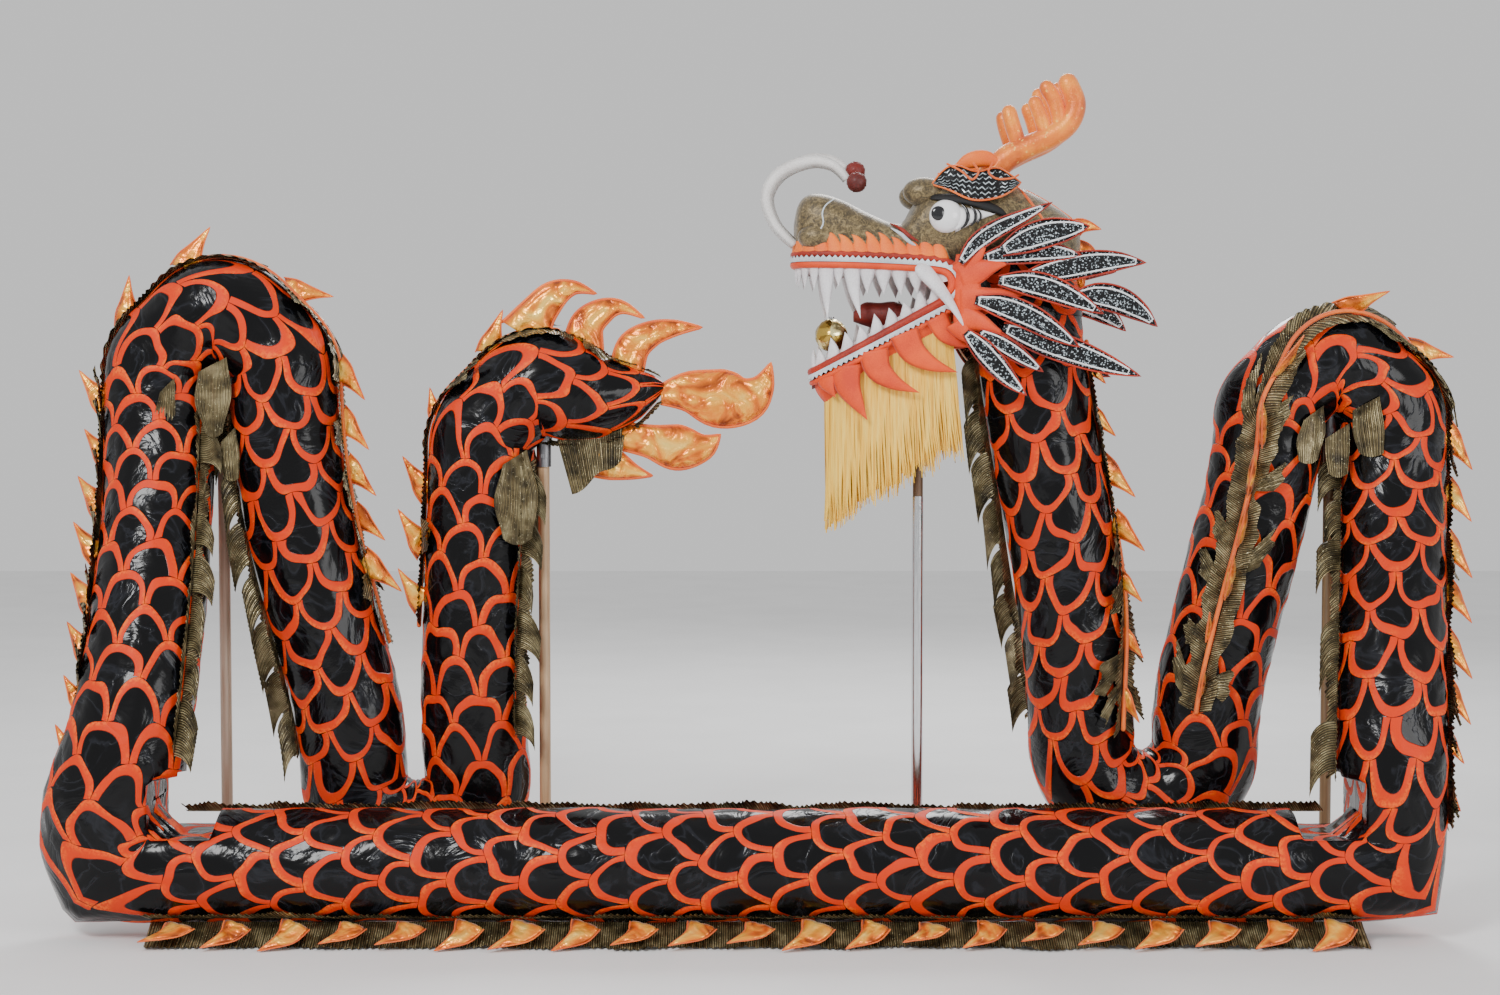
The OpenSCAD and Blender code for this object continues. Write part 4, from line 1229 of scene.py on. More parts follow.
def draped_flap(shape, crown, way, x, top, widths, length, slant):
    """A pleated flap on one face of the sleeve. x and top are measured from the bend's centre, and widths
    are those of its top, middle and hem"""
    spread = smooth_line(widths, 18)

    def spot(f, share):
        w = 2 * share - 1
        wave = math.sin(w * widths[1] * math.pi * 1.5 / PLEAT)
        here = x + w * spread[round(18 * f)] / 2 + slant * f
        z = crown.z + top - length * f * (1 - 0.08 * w * w) + 0.016 * w * (1 - f)
        off = math.hypot(here, max(z - crown.z, 0))
        radial = min(abs(off - BEND_R), 0.116)
        y = max(math.sqrt(SLEEVE_R**2 - radial**2) + 0.006, 0.084) + 0.012 * f
        at = point(crown.x + here, way * (y + 0.0032 * wave * (0.3 + 0.7 * f)), z)
        return at, (w * widths[1] * 0.7, f)

    shape.surface(18, 20, spot)


def pole_flaps():
    """Lame flaps that hang on both faces of the sleeve beside its poles"""
    left = [
        (-0.002, 0.022, (0.062, 0.080, 0.040), 0.158, 0.004),
        (-0.092, -0.022, (0.030, 0.046, 0.040), 0.172, -0.016),
        (0.030, -0.13, (0.03, 0.045, 0.035), 0.10, 0.01),
    ]
    right = [
        (0.052, 0.040, (0.050, 0.060, 0.048), 0.115, 0.010),
        (-0.060, 0.020, (0.050, 0.070, 0.050), 0.110, -0.015),
        (-0.005, -0.02, (0.05, 0.05, 0.04), 0.10, 0.0),
    ]
    tail = [(-0.054, -0.020, (0.050, 0.092, 0.060), 0.190, 0.006)]
    spots = [
        ("left_arch", "left_crown_flaps", left_crown, left),
        ("right_arch", "right_crown_flaps", right_crown, right),
        ("tail_rise", "tail_rise_drape", tail_elbow, tail),
    ]
    for body, name, crown, flaps in spots:
        shape = Shape()
        for flap in flaps:
            for way in (-1, 1):
                draped_flap(shape, crown, way, *flap)
        piece = shape.build(name, body, ["lame"])


# ---------------------------------------------------------------- tail
def tail_flames():
    """Padded satin flames, each a spine with its half widths, in the plane of the dragon"""
    flames = [
        (
            [(-0.871, 1.262), (-0.842, 1.306), (-0.800, 1.346), (-0.755, 1.362), (-0.708, 1.350)],
            [0.050, 0.036, 0.030, 0.014, 0], [0.074, 0.046, 0.030, 0.012, 0],
        ),
        (
            [(-0.735, 1.236), (-0.722, 1.282), (-0.690, 1.312), (-0.650, 1.318), (-0.603, 1.297)],
            [0.044, 0.040, 0.026, 0.014, 0], [0.042, 0.030, 0.024, 0.010, 0],
        ),
        (
            [(-0.640, 1.188), (-0.622, 1.232), (-0.586, 1.262), (-0.532, 1.272), (-0.476, 1.276)],
            [0.036, 0.038, 0.026, 0.018, 0], [0.036, 0.030, 0.026, 0.012, 0],
        ),
        (
            [
                (-0.566, 1.128), (-0.505, 1.132), (-0.438, 1.118), (-0.378, 1.122), (-0.343, 1.150),
                (-0.324, 1.198),
            ],
            [0.020, 0.046, 0.064, 0.050, 0.024, 0], [0.020, 0.040, 0.060, 0.052, 0.026, 0],
        ),
        (
            [(-0.652, 1.036), (-0.592, 1.028), (-0.528, 1.014), (-0.472, 1.016), (-0.436, 1.040)],
            [0.030, 0.032, 0.046, 0.026, 0], [0.028, 0.036, 0.050, 0.030, 0],
        ),
        (
            [(-0.706, 0.984), (-0.668, 0.972), (-0.626, 0.958), (-0.586, 0.950)], [0.044, 0.034, 0.016, 0],
            [0.036, 0.030, 0.014, 0],
        ),
    ]
    pads = Shape()
    piping = Shape()
    for spine, left, right in flames:
        outline = blade(pads, spine, left, right, 0.036, lambda x, y, h: point(x, h, y), 26, 12, 0, 0.28)
        tube(piping, outline, 0.0036, 8)
    looks = ["satin"]
    pads.build("tail_flames_pad", "tail", looks, 0.0002, ["tail_flames"])
    piping.build("tail_flames_piping", "tail", ["piping"])


def tail_drapes():
    """Ruffle along the cone's top and bottom edges, its pointed tabs, and the drape under the tail"""
    shape = Shape()
    start = LINE.at("tail_elbow", 0.75)
    end = LINE.length[-1] - 0.02
    for way in (-1, 1):
        strip(shape, start, end, way * 2, way * 10, 0.003, way)
        strip(shape, start + 0.02, end, 180 + way * 2, way * 8, 0.012, way)
    for share, width, long in ((0.10, 0.075, 0.052), (0.42, 0.085, 0.066), (0.74, 0.055, 0.040)):
        s = start + (end - start) * share
        for way in (-1, 1):
            tab(shape, s + 0.01, way * 8, way, width, long, 0.45, 0.004)
    for side in (-1, 1):

        def spot(f, w, side=side):
            x = tail_elbow.x + 0.030 + 0.150 * w * (1 - 0.28 * f) + 0.034 * f
            top = 1.030 + 0.026 * w
            z = top - (0.120 - 0.050 * w) * f - 0.006 * math.sin(w * 9) * f
            wave = math.sin(w * 0.15 * 2 * math.pi / 0.012)
            y = side * (0.012 + 0.014 * f) + 0.005 * wave * (0.25 + f)
            return point(x, y, z), (w * 0.16, f)

        shape.surface(17, 48, spot)
    piece = shape.build("tail_drape", "tail", ["lame"], stands_for=["tail_ruffles"])


# ---------------------------------------------------------------- head
# Stations of the head along X: x, top, bottom, half width
HEAD_STATIONS = [
    (-0.274, 1.502, 1.466, 0.016),
    (-0.266, 1.540, 1.446, 0.048),
    (-0.248, 1.562, 1.440, 0.064),
    (-0.215, 1.567, 1.436, 0.076),
    (-0.170, 1.552, 1.432, 0.082),
    (-0.110, 1.523, 1.428, 0.084),
    (-0.062, 1.503, 1.424, 0.087),
    (-0.036, 1.506, 1.421, 0.092),
    (-0.016, 1.540, 1.418, 0.098),
    (0.010, 1.576, 1.414, 0.105),
    (0.050, 1.594, 1.408, 0.112),
    (0.110, 1.601, 1.396, 0.118),
    (0.170, 1.596, 1.380, 0.118),
    (0.230, 1.574, 1.355, 0.112),
    (0.290, 1.542, 1.335, 0.098),
    (0.332, 1.512, 1.350, 0.072),
    (0.350, 1.482, 1.400, 0.030),
]
ROUNDNESS = 2.5


def head_station(x):
    xs = [s[0] for s in HEAD_STATIONS]
    x = min(max(x, xs[0]), xs[-1])
    k = min(max(bisect.bisect_right(xs, x) - 1, 0), len(xs) - 2)
    f = (x - xs[k]) / (xs[k + 1] - xs[k])
    return [a + (b - a) * f for a, b in zip(HEAD_STATIONS[k], HEAD_STATIONS[k + 1])]


def head_side(x, z):
    """Half width of the head at a height"""
    _, top, low, half = head_station(x)
    h = (top - low) / 2
    off = min(abs(z - (top + low) / 2) / h, 0.999)
    return half * (1 - off**ROUNDNESS) ** (1 / ROUNDNESS)


def head_line(points, count, side, lift):
    """A smooth line over the head's side through points of (x, z)"""
    return [point(x, side * (head_side(x, z) + lift), z) for x, z in smooth_line(points, count)]


def build_skull():
    shape = Shape()
    rows = []
    for x, top, low, half in smooth_line(HEAD_STATIONS, 84):
        row = []
        for j in range(56):
            a = 2 * math.pi * j / 56
            c, s = math.cos(a), math.sin(a)
            y = half * math.copysign(abs(c) ** (2 / ROUNDNESS), c)
            z = (top + low) / 2 + (top - low) / 2 * math.copysign(abs(s) ** (2 / ROUNDNESS), s)
            swell = 0.0022 * noise.noise(Vector((x, y, z)) * 14)
            row.append(point(x, y * (1 + swell * 6), z + swell))
        rows.append(row)
    shape.grid(rows, None, 0, closed=True)
    for start in (0, len(shape.verts) - 56):
        shape.cap(start, 56)
    for side in (-1, 1):
        ball(shape, (0.006, side * 0.064, 1.566), (0.046, 0.036, 0.032))
        ball(shape, (-0.222, side * 0.052, 1.470), (0.045, 0.032, 0.030))
        crease = [(-0.186, 1.553), (-0.206, 1.538), (-0.214, 1.520), (-0.212, 1.498), (-0.224, 1.476)]
        tube(shape, head_line(crease, 14, side, 0.002), 0.0018, 6, 1)
        slit = [(-0.066, 1.500), (-0.045, 1.486), (-0.028, 1.470), (-0.008, 1.458)]
        for drop, slot in ((0.0, 2), (0.012, 1)):
            points = [
                point(x, side * (head_side(x, z - drop) + 0.003), z - drop)
                for x, z in smooth_line(slit, 10)
            ]
            tube(shape, points, [0.001 + 0.0036 * math.sin(math.pi * i / 10) for i in range(11)], 8, slot)
    seams = (
        [(0.235, 1.572), (0.285, 1.545), (0.335, 1.508)],
        [(0.205, 1.585), (0.262, 1.500), (0.300, 1.440)],
    )
    for line in seams:
        for side in (-1, 1):
            tube(shape, head_line(line, 12, side, 0.001), 0.0034, 6, 3)
    shape.build(
        "head_shell", "head", ["brocade", "braid", "red", "piping"], stands_for=["skull"],
    )


def nape_hood():
    """Sleeve cloth that closes the neck under the head"""
    shape = Shape()
    stops = [
        (0.240, 1.300, 0.119, 0.119),
        (0.236, 1.350, 0.119, 0.118),
        (0.220, 1.410, 0.112, 0.110),
        (0.195, 1.470, 0.096, 0.098),
    ]
    stations = smooth_line(stops, 20)

    def spot(f, share):
        x, z, rx, ry = stations[round(20 * f)]
        a = 2 * math.pi * share
        return point(x + rx * math.cos(a), -ry * math.sin(a), z), (COLUMNS * share, 40 - 0.17 * f / ROW)

    shape.surface(20, 84, spot)
    piece = shape.build("nape_hood", "head", ["scales"])


def lip_path(back_points, count):
    """The whole lip from its -Y corner round the tip to its +Y corner"""
    half = smooth_line(back_points, count)
    return [Vector(p) for p in half] + [Vector((p[0], -p[1], p[2])) for p in half[-2::-1]]


UPPER_LIP = [
    (0.052, -0.100, 1.330),
    (0.070, -0.102, 1.350),
    (0.073, -0.103, 1.376),
    (0.060, -0.102, 1.398),
    (0.030, -0.098, 1.409),
    (-0.050, -0.092, 1.415),
    (-0.130, -0.088, 1.419),
    (-0.200, -0.080, 1.421),
    (-0.246, -0.060, 1.422),
    (-0.268, -0.030, 1.422),
    (-0.274, 0.0, 1.422),
]
LOWER_LIP = [
    (0.060, -0.096, 1.324),
    (0.020, -0.092, 1.302),
    (-0.060, -0.084, 1.258),
    (-0.130, -0.076, 1.220),
    (-0.190, -0.058, 1.188),
    (-0.224, -0.030, 1.170),
    (-0.234, 0.0, 1.166),
]


def lip_frame(path, i):
    """Travel direction, outward direction and the direction from lip edge up the face"""
    t = direction(path, i)
    heart = Vector((-0.02, 0, path[i].z))
    out = path[i] - heart
    out.y *= 2.2
    out = (out - t * out.dot(t)).normalized()
    up = t.cross(out)
    return t, out, up


def lips():
    shape = Shape()
    sets = [
        (UPPER_LIP, 1, ((0.0118, 0.0078, 0), (-0.0108, 0.0085, 1))),
        (LOWER_LIP, -1, ((0.0118, 0.0100, 0), (-0.0120, 0.0060, 1))),
    ]
    for points, sign, rolls in sets:
        path = lip_path(points, 60)
        frames = [lip_frame(path, i) for i in range(len(path))]
        for shift, radius, slot in rolls:
            line = [p + f[2] * shift for p, f in zip(path, frames)]
            tube(shape, line, radius, 10, slot)
        marks = arc_marks(path)
        teeth = round(marks[-1] / 0.0062)
        rows = []
        for i in range(teeth + 1):
            p, k = on_path(path, marks, marks[-1] * i / teeth)
            _, out, up = frames[k]
            wide = 0.0092 if i % 2 else 0.0030
            low = p + out * 0.0085 - up * 0.0050 * sign
            high = p + out * 0.0085 + up * wide * sign
            rows.append([low, p + out * 0.0105, high])
        shape.grid(rows, None, 2)
    shape.build(
        "lip_rolls_sewn", "head", ["red", "orange", "braid"], stands_for=["lip_rolls"],
    )


def arc_marks(path):
    marks = [0.0]
    for a, b in zip(path, path[1:]):
        marks.append(marks[-1] + (b - a).length)
    return marks


def on_path(path, marks, s):
    k = min(max(bisect.bisect_right(marks, s) - 1, 0), len(path) - 2)
    f = (s - marks[k]) / (marks[k + 1] - marks[k])
    return path[k].lerp(path[k + 1], f), k


def foam_tooth(shape, base, along, down, out, half, length, lean):
    """A flat foam tooth: base point, the lip's direction, its own direction, and the way out of the mouth"""

    def place(x, y, h):
        return base + along * x + down * y + out * (h + 0.05 * y)

    spine = [(0, 0), (lean * 0.35, length * 0.5), (lean, length)]
    wide = [half, half * 0.62, 0]
    blade(shape, spine, wide, wide, 0.013, place, 10, 6)


def teeth():
    upper = Shape()
    path = lip_path(UPPER_LIP, 60)
    frames = [lip_frame(path, i) for i in range(len(path))]
    inner = [p - f[1] * 0.006 for p, f in zip(path, frames)]
    gum = []
    for p, (_, out, up) in zip(inner, frames):
        gum.append([p - up * 0.012, p - up * 0.022 + out * 0.002, p - up * 0.032 - out * 0.004])
    upper.grid(gum[12:-12], None, 1)
    marks = arc_marks(inner)
    total = marks[-1]
    down = Vector((0, 0, -1))
    # Distance from the mouth's corner, half width, length and how far the tip leans back
    row = [
        (0.152, 0.019, 0.050, 0.004),
        (0.187, 0.019, 0.056, 0.004),
        (0.222, 0.019, 0.056, 0.002),
        (0.256, 0.018, 0.056, 0.0),
        (0.290, 0.019, 0.110, 0.020),
        (0.318, 0.013, 0.042, 0.0),
        (0.345, 0.019, 0.112, 0.004),
        (0.372, 0.013, 0.050, 0.0),
        (0.396, 0.012, 0.046, 0.0),
        (0.418, 0.011, 0.042, 0.0),
        (0.439, 0.010, 0.040, 0.0),
    ]
    for side in (-1, 1):
        for s, half, length, lean in row:
            p, k = on_path(inner, marks, s if side < 0 else total - s)
            t, out, _ = frames[k]
            t = t * side
            foam_tooth(upper, p + down * 0.016, t, down, out, half, length, lean)
        fang = [(0.004, 0.112, 1.392), (0.034, 0.122, 1.358), (0.066, 0.126, 1.314), (0.092, 0.122, 1.270)]
        line = [(x, side * y, z) for x, y, z in smooth_line(fang, 14)]
        radii = [0.0215 * (1 - (i / 14) ** 1.4) + 0.0005 for i in range(15)]
        tube(upper, line, radii, 12, 0, 0.6)
    upper.build("upper_tusks", "head", ["white", "gum"], stands_for=["upper_teeth"])

    lower = Shape()
    path = lip_path(LOWER_LIP, 60)
    frames = [lip_frame(path, i) for i in range(len(path))]
    inner = [p - f[1] * 0.006 for p, f in zip(path, frames)]
    rise = Vector((0, 0, 1))
    gum = []
    for p, (_, out, _) in zip(inner, frames):
        gum.append([p + rise * 0.006, p + rise * 0.020 + out * 0.002, p + rise * 0.034 - out * 0.004])
    lower.grid(gum, None, 1)
    marks = arc_marks(inner)
    total = marks[-1]
    count = 19
    for i in range(count):
        s = 0.035 + (total - 0.07) * i / (count - 1)
        p, k = on_path(inner, marks, s)
        t, out, _ = frames[k]
        if t.x > 0:
            t = -t
        high = 0.046 + 0.006 * math.sin(i * 2.1)
        foam_tooth(lower, p + rise * 0.018, t, rise, out, 0.0195, high, 0.006)
    lower.build("lower_tusks", "head", ["white", "gum"], stands_for=["lower_teeth"])


def on_face(side, lift, y_of=head_side):
    """Maps a side view's (x, z, height) onto the head's surface"""

    def place(x, z, h):
        return point(x, side * (y_of(x, z) + lift + h), z)

    return place


def lip_flames():
    """Row of orange flames that leans back along the upper lip"""
    shape = Shape()
    path = lip_path(UPPER_LIP, 60)
    marks = arc_marks(path)
    total = marks[-1]
    count = 13
    for side in (-1, 1):
        for i in range(count):
            s = 0.105 + (total / 2 - 0.105) * i / (count - 0.5)
            p, k = on_path(path, marks, s if side < 0 else total - s)
            t, out, up = lip_frame(path, k)
            if side > 0:
                t = -t
            high = 0.046 + 0.006 * math.sin(i * 1.7)

            def place(x, y, h, p=p, t=t, out=out):
                return p + Vector((0, 0, 0.014 + y)) - t * x + out * (0.001 + h - 0.16 * y)

            spine = [(0.004, 0.0), (0.000, high * 0.4), (-0.006, high * 0.75), (-0.020, high)]
            wide = [0.019, 0.017, 0.010, 0], [0.019, 0.015, 0.007, 0]
            blade(shape, spine, *wide, 0.011, place, 10, 6, 0, 0.0, (0.0016, 1))
    shape.build("lip_flames", "head", ["amber", "brocade"])


def jaw_side(x, _):
    """Half width of the lower jaw's cloth, the same at every height"""
    share = min(max((0.06 - x) / 0.30, 0), 1)
    return 0.096 * math.sqrt(max(1 - share**2.6, 0.02))


def lower_jaw():
    shape = Shape()
    path = lip_path(LOWER_LIP, 48)
    rows = []
    for i, p in enumerate(path):
        _, out, _ = lip_frame(path, i)
        deep = 0.052 + 0.02 * (p.x + 0.234) / 0.3
        row = []
        for j in range(8):
            f = j / 7
            row.append(p + Vector((0, 0, -0.008 - deep * f)) - out * (0.004 + 0.030 * f * f))
        rows.append(row)
    shape.grid(rows, None, 0)
    for side in (1, -1):
        floor = []
        for p in path[: len(path) // 2 + 1]:
            y = p.y * side
            spots = ((0.7, 0), (0.3, 0.020), (0, 0.026))
            floor.append([point(p.x, y * share, p.z - drop) for share, drop in spots])
        shape.grid(floor, None, 1)
    flames = [
        ([(0.030, 1.296), (0.050, 1.262), (0.078, 1.242), (0.112, 1.231)], 0.026),
        ([(-0.040, 1.262), (-0.020, 1.222), (0.022, 1.194), (0.078, 1.177)], 0.034),
        ([(-0.105, 1.224), (-0.094, 1.184), (-0.058, 1.154), (-0.004, 1.133)], 0.034),
        ([(-0.165, 1.192), (-0.160, 1.150), (-0.140, 1.112), (-0.116, 1.074)], 0.034),
        ([(-0.208, 1.172), (-0.204, 1.155), (-0.196, 1.140), (-0.184, 1.122)], 0.022),
    ]
    for side in (-1, 1):
        for spine, wide in flames:
            left = [wide * k for k in (1, 0.86, 0.5, 0)]
            right = [wide * k for k in (0.9, 0.8, 0.45, 0)]
            blade(shape, spine, left, right, 0.012, on_face(side, 0.001, jaw_side), 14)
    shape.build(
        "jaw_cover", "head", ["orange", "dark_red"], stands_for=["lower_jaw"],
    )


def cheek_lift(x, _):
    """How far the cheek flames stand from the middle plane, the same at every height"""
    share = min(max((x - 0.05) / 0.10, 0), 1)
    return 0.104 + 0.036 * share * share * (3 - 2 * share) + 0.06 * max(x - 0.15, 0)


def cheek_flames():
    shape = Shape()
    parts = [
        (
            [(0.086, 1.430), (0.088, 1.380), (0.086, 1.330), (0.082, 1.270)], [0.012, 0.032, 0.036, 0.020],
            [0.014, 0.022, 0.020, 0.014],
        ),
        (
            [(0.080, 1.384), (0.104, 1.412), (0.122, 1.436), (0.136, 1.458)], [0.030, 0.024, 0.012, 0],
            [0.026, 0.018, 0.010, 0],
        ),
        (
            [(0.080, 1.378), (0.120, 1.392), (0.154, 1.402), (0.188, 1.411)], [0.036, 0.026, 0.014, 0],
            [0.034, 0.024, 0.010, 0],
        ),
        (
            [(0.080, 1.332), (0.130, 1.334), (0.178, 1.340), (0.222, 1.342)], [0.034, 0.024, 0.014, 0],
            [0.034, 0.022, 0.010, 0],
        ),
        (
            [(0.080, 1.296), (0.116, 1.284), (0.148, 1.268), (0.177, 1.257)], [0.030, 0.022, 0.012, 0],
            [0.028, 0.020, 0.010, 0],
        ),
        (
            [(0.070, 1.284), (0.084, 1.262), (0.098, 1.246), (0.113, 1.232)], [0.026, 0.020, 0.010, 0],
            [0.024, 0.016, 0.008, 0],
        ),
    ]
    for side in (-1, 1):
        for k, (spine, left, right) in enumerate(parts):
            blade(shape, spine, left, right, 0.016, on_face(side, 0.0006 * k, cheek_lift), 14)
    shape.build(
        "cheek_flames_cloth", "head", ["orange"], stands_for=["cheek_flames"],
    )


def cheek_fins():
    """Lace leaves with a white cord and red piping, layered like feathers behind the cheek"""
    leaves = [
        ([(0.080, 1.410), (0.125, 1.462), (0.190, 1.498), (0.270, 1.536)], 0.019, 2),
        ([(0.165, 1.434), (0.230, 1.462), (0.292, 1.478), (0.346, 1.484)], 0.030, 4),
        ([(0.130, 1.420), (0.200, 1.430), (0.270, 1.432), (0.332, 1.424)], 0.024, 1),
        ([(0.225, 1.384), (0.300, 1.396), (0.385, 1.412), (0.464, 1.407)], 0.028, 0),
        ([(0.160, 1.372), (0.235, 1.362), (0.305, 1.338), (0.376, 1.300)], 0.027, 3),
        ([(0.320, 1.338), (0.380, 1.336), (0.440, 1.314), (0.488, 1.273)], 0.028, 0),
        ([(0.110, 1.330), (0.185, 1.310), (0.262, 1.272), (0.326, 1.230)], 0.027, 5),
        ([(0.170, 1.272), (0.260, 1.238), (0.360, 1.204), (0.454, 1.168)], 0.029, 2),
        ([(0.120, 1.262), (0.165, 1.236), (0.210, 1.208), (0.252, 1.178)], 0.018, 4),
        ([(0.090, 1.262), (0.130, 1.218), (0.172, 1.172), (0.217, 1.128)], 0.023, 6),
    ]
    shape = Shape()
    for side in (-1, 1):
        for spine, wide, layer in leaves:

            def spread(x, z, layer=layer):
                return 0.122 + 0.20 * max(x - 0.09, 0) + 0.0042 * layer

            left = [wide * k for k in (0.35, 0.95, 1.0, 0.62, 0)]
            right = [wide * k for k in (0.35, 0.85, 0.95, 0.70, 0)]
            line = smooth_line(spine, 4)
            place = on_face(side, 0, spread)
            blade(shape, line, left, right, 0.010, place, 18, 8, 0, 0.3, (0.0022, 1), (0.0021, 2))
    shape.build(
        "cheek_fins_lace", "head", ["lace", "red", "cord"], stands_for=["cheek_fins"],
    )


def eyes():
    shape = Shape()
    centre_x, centre_z, radius = 0.051, 1.511, 0.037
    for side in (-1, 1):
        y = head_side(centre_x, centre_z)
        ball(shape, (centre_x, side * (y - 0.004), centre_z), (radius, 0.024, radius * 0.97), 0, 18, 28)
        pupil_x, pupil_z = 0.032, 1.516
        off = math.hypot(pupil_x - centre_x, pupil_z - centre_z) / radius
        pupil_y = y - 0.004 + 0.024 * math.sqrt(1 - off * off)
        ball(shape, (pupil_x, side * pupil_y, pupil_z), (0.0155, 0.005, 0.0155), 1, 10, 20)
        tail = [(0.068, 1.508), (0.100, 1.510), (0.128, 1.513), (0.156, 1.515)]
        wide = [0.026, 0.018, 0.010, 0], [0.032, 0.018, 0.008, 0]
        blade(shape, tail, *wide, 0.010, on_face(side, 0.003), 12)
        for x, half in ((0.084, 0.029), (0.103, 0.023), (0.117, 0.015)):
            points = []
            radii = []
            for i in range(11):
                a = math.radians(-58 + 116 * i / 10)
                px = x - half * 0.6 + half * math.cos(a)
                pz = 1.510 + half * 1.05 * math.sin(a)
                points.append(point(px, side * (head_side(px, pz) + 0.0095), pz))
                radii.append(0.0007 + 0.0036 * half / 0.029 * math.cos(a) ** 2)
            tube(shape, points, radii, 8, 1)
        lid = [(0.018, 1.553), (0.066, 1.549), (0.116, 1.538), (0.160, 1.522), (0.184, 1.505)]
        wide = [0.006, 0.010, 0.011, 0.009, 0.001], [0.006, 0.008, 0.009, 0.008, 0.001]
        blade(shape, lid, *wide, 0.016, on_face(side, 0.008), 16, 6, 2)
    shape.build("eyes_painted", "head", ["eye", "pupil", "black"], stands_for=["eyes"])


def brows():
    shape = Shape()
    for side in (-1, 1):

        def over(x, z):
            return head_side(x, min(z, 1.565)) + 0.008 + 0.10 * max(1.60 - z, 0)

        spine = [(0.022, 1.581), (0.062, 1.585), (0.112, 1.580), (0.165, 1.578), (0.213, 1.584)]
        up = [0.001, 0.034, 0.026, 0.036, 0.001]
        down = [0.001, 0.020, 0.036, 0.026, 0.001]
        blade(shape, spine, up, down, 0.018, on_face(side, 0.004, over), 20, 10, 0, 0.0, (0.0024, 1))
        front = [(0.052, 1.622), (0.082, 1.606), (0.104, 1.588), (0.118, 1.604), (0.108, 1.622)]
        back = [(0.148, 1.622), (0.140, 1.604), (0.158, 1.590), (0.190, 1.592), (0.206, 1.600)]
        for curl, lift in ((front, 0.014), (back, 0.013)):
            points = [point(x, side * (over(x, z) + lift), z) for x, z in smooth_line(curl, 20)]
            tube(shape, points, 0.0024, 6, 1)
        crest = [(0.070, 1.612), (0.100, 1.634), (0.140, 1.640), (0.176, 1.622)]
        wide = [0.004, 0.014, 0.014, 0.002], [0.010, 0.020, 0.022, 0.008]
        blade(shape, crest, *wide, 0.046, on_face(side, -0.026, over), 14, 8, 2)
    shape.build(
        "brow_panels", "head", ["zigzag", "piping", "amber"], stands_for=["brows"],
    )


def horns():
    """Stuffed antlers: a main branch with two fingers along its front and one at its root"""
    main = [
        (0.150, 1.604), (0.186, 1.640), (0.228, 1.662), (0.284, 1.687), (0.319, 1.716), (0.331, 1.756),
        (0.315, 1.799),
    ]
    wide = [0.027, 0.0275, 0.0255, 0.0245, 0.0235, 0.0225, 0.0215]
    fingers = [
        ([(0.300, 1.700), (0.296, 1.730), (0.287, 1.762), (0.270, 1.790)], 0.0165),
        ([(0.268, 1.684), (0.262, 1.710), (0.254, 1.736), (0.245, 1.758)], 0.0150),
        ([(0.213, 1.662), (0.204, 1.690), (0.196, 1.715), (0.190, 1.738)], 0.0165),
    ]
    shape = Shape()
    for side in (-1, 1):

        def spot(x, z):
            return point(x, side * (0.052 + 0.11 * (x - 0.14)), z)

        tube(shape, [spot(x, z) for x, z in smooth_line(main, 36)], smooth_line(wide, 36), 18)
        for line, radius in fingers:
            points = smooth_line(line, 16)
            radii = [radius * (1 + 0.06 * math.sin(math.pi * i / 16)) for i in range(17)]
            tube(shape, [spot(x, z) for x, z in points], radii, 14)
    shape.build("horns_stuffed", "head", ["horn"], stands_for=["horns"])


def beard():
    """Hair sewn round the jaw in strands of differing length"""
    shape = Shape()
    path = lip_path(LOWER_LIP, 60)
    marks = arc_marks(path)
    total = marks[-1]
    ends = [
        (-0.236, 0.836), (-0.205, 0.834), (-0.156, 0.846), (-0.123, 0.884), (-0.090, 0.899),
        (-0.046, 0.915), (-0.002, 0.960), (0.029, 0.956), (0.053, 0.996), (0.112, 0.978),
    ]

    def end_at(x):
        for (x0, z0), (x1, z1) in zip(ends, ends[1:]):
            if x <= x1:
                return z0 + (z1 - z0) * max(x - x0, 0) / (x1 - x0)
        return ends[-1][1]

    count = 620
    for i in range(count):
        s = total * (i + rng.uniform(-0.3, 0.3)) / (count - 1)
        p, k = on_path(path, marks, min(max(s, 0), total * 0.9999))
        _, out, _ = lip_frame(path, k)
        layer = i % 3
        deep = 0.012 + 0.009 * layer + 0.016 * max(-p.x - 0.12, 0) / 0.11
        root = p - out * deep + Vector((0, 0, -0.030))
        drift = 0.036 * (root.x + 0.23) / 0.3
        end = end_at(root.x + drift) + rng.uniform(-0.012, 0.020) + 0.012 * layer
        half = rng.uniform(0.0022, 0.0038)
        phase = rng.uniform(0, 6.28)
        rows = []
        for j in range(11):
            f = j / 10
            wave = 0.0028 * math.sin(phase + 7 * f) * f
            at = root + Vector((drift * f + wave, -root.y * 0.16 * f + wave * 0.6, (end - root.z) * f))
            across = direction(path, k)
            across.z = 0
            across.normalize()
            thin = half * (1 - 0.75 * f**3)
            back = at - out * 0.001
            rows.append([back - across * thin, at + out * 0.0009, back + across * thin])
        shape.grid(rows, None, 0)
    rows = []
    for i, p in enumerate(path):
        _, out, _ = lip_frame(path, i)
        root = p - out * 0.026 + Vector((0, 0, -0.03))
        end = end_at(root.x) + 0.05
        rows.append(
            [root + Vector((0.03 * f, -root.y * 0.16 * f, (end - root.z) * f))
            for f in (0, 0.33, 0.66, 1)]
        )
    shape.grid(rows, None, 0)
    shape.build("beard_hair", "head", ["hair"], stands_for=["beard"])


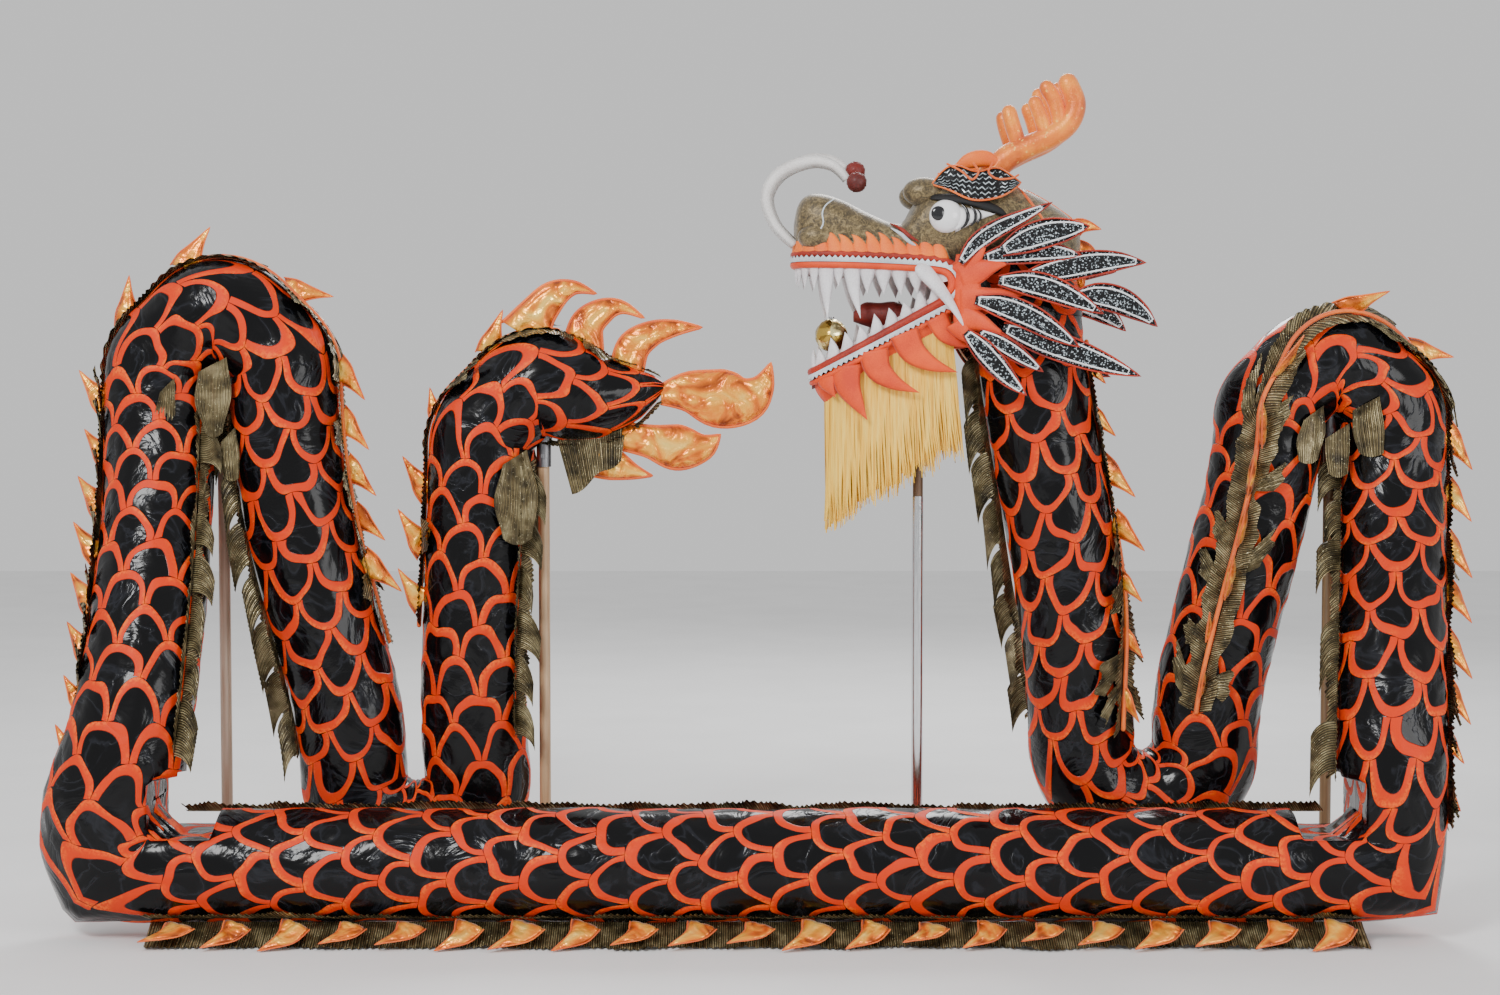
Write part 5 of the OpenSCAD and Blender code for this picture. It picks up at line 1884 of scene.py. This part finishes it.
def tongue():
    shape = Shape()
    stations = [
        (0.036, 1.300, 1.272, 0.018), (0.000, 1.316, 1.262, 0.030), (-0.040, 1.330, 1.262, 0.036),
        (-0.085, 1.336, 1.270, 0.036), (-0.120, 1.330, 1.280, 0.030), (-0.143, 1.312, 1.288, 0.014),
    ]
    rows = []
    for x, top, low, half in smooth_line(stations, 24):
        row = []
        for j in range(24):
            a = 2 * math.pi * j / 24
            c, s = math.cos(a), math.sin(a)
            groove = 0.006 * math.exp(-((c / 0.25) ** 2)) if s > 0 else 0
            ripple = 0.003 * math.sin(x * 90)
            z = (top + low) / 2 + (top - low) / 2 * s - groove + ripple * max(s, 0)
            row.append(point(x, half * c, z))
        rows.append(row)
    shape.grid(rows, None, 0, closed=True)
    for start in (0, len(shape.verts) - 24):
        shape.cap(start, 24)
    shape.build("tongue_cloth", "tongue", ["dark_red"], stands_for=["tongue"])


def pearl():
    low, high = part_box("pearl")
    centre = (low + high) / 2
    radius = (high.z - low.z) / 2
    shape = Shape()

    def crumple(unit):
        a = noise.noise(unit * 2.6)
        b = abs(noise.noise(unit * 5.5 + Vector((3, 1, 2))))
        return 0.975 + 0.045 * a - 0.05 * b

    ball(shape, centre, (radius, radius, radius), 0, 44, 64, crumple)
    shape.build("pearl_foil", "pearl", ["pearl"], stands_for=["pearl"])


def nape_crest():
    shape = Shape()
    for i in range(3):
        a = math.radians(62 + 32 * i)
        out = Vector((math.sin(a), 0, math.cos(a)))
        along = Vector((math.cos(a), 0, -math.sin(a)))
        base = Vector((0.268, 0, 1.452)) + out * 0.084

        def place(x, y, h, base=base, along=along, out=out):
            return base + along * x + out * y + Vector((0, h, 0))

        spine = [(0, -0.006), (0.002, 0.014), (0.012, 0.032), (0.028, 0.050)]
        wide = [0.022, 0.018, 0.010, 0], [0.022, 0.014, 0.008, 0]
        blade(shape, spine, *wide, 0.014, place, 10, 6, 0, 0.3, (0.0016, 1))
    shape.build(
        "nape_thorns", "head", ["satin", "piping"], stands_for=["nape_crest"],
    )


def feelers():
    """White felt strips that rise from the nose, each with a dark pompom at its end"""
    line = [
        (-0.272, 1.456), (-0.314, 1.500), (-0.332, 1.560), (-0.304, 1.612), (-0.240, 1.643),
        (-0.190, 1.643), (-0.160, 1.626),
    ]
    for name, side, drop in (("feeler_left", -1, 0.030), ("feeler_right", 1, 0.0)):
        shape = Shape()
        centre = [Vector((x, side * 0.034, z - drop * (i / 6) ** 3)) for i, (x, z) in enumerate(line)]
        points = [Vector(p) for p in smooth_line([tuple(p) for p in centre], 48)]
        rows = []
        for i, p in enumerate(points):
            t = direction(points, i)
            flat = Vector((0, 1, 0)).cross(t).normalized()
            half = 0.0105 + 0.0065 * math.sin(math.pi * min(i / 46, 1))
            wide = (flat * 0.92 + Vector((0, 0.4, 0))).normalized()
            thin = t.cross(wide).normalized() * 0.0013
            rows.append([p - wide * half, p + thin, p + wide * half, p - thin])
        shape.grid(rows, None, 0, closed=True)
        for start in (0, len(shape.verts) - 4):
            shape.cap(start, 4)
        knot = points[-1] + Vector((0.022, 0, -0.006))

        def fluff(unit):
            return 1 + 0.10 * noise.noise(unit * 9) + 0.05 * noise.noise(unit * 23)

        ball(shape, knot, (0.0215, 0.0205, 0.0215), 1, 26, 36, fluff)
        shape.build(
            name + "_felt", name, ["feeler", "dark_red"], stands_for=[name],
        )


# ---------------------------------------------------------------- finish on the CAD pieces that stay
NODE_LOOKS = {
    "brown_wood": ["right_pole"],
    "pale_wood": ["left_pole"],
    "tan_wood": ["tail_pole"],
    "dark_wood": ["head_pole_shaft"],
    "chrome": ["head_pole_tube"],
    "rubber": [pole + "_pole_cap" for pole in ("head", "right", "left", "tail")],
    "cane": ["head_frame"],
    "wire": ["pearl_spindle"] + [
        run + "_hoops"
        for run in ("floor", "right_arch", "neck", "left_arch", "tail_rise")
    ],
    "bracket": ["right_arch_bracket", "left_arch_bracket", "tail_frame"],
}


def finish_cad_nodes():
    for look, nodes in NODE_LOOKS.items():
        for piece in (frame["nodes"][node] for node in nodes):
            for slot in piece.material_slots:
                slot.material = LOOK[look]
            if not piece.material_slots:
                piece.data.materials.append(LOOK[look])


make_camera()
make_studio()
make_materials()
for part in sections():
    skin(part)
    dress(part)
pole_flaps()
tail_flames()
tail_drapes()
build_skull()
nape_hood()
lips()
teeth()
lip_flames()
lower_jaw()
cheek_flames()
cheek_fins()
eyes()
brows()
horns()
beard()
tongue()
pearl()
nape_crest()
feelers()
finish_cad_nodes()
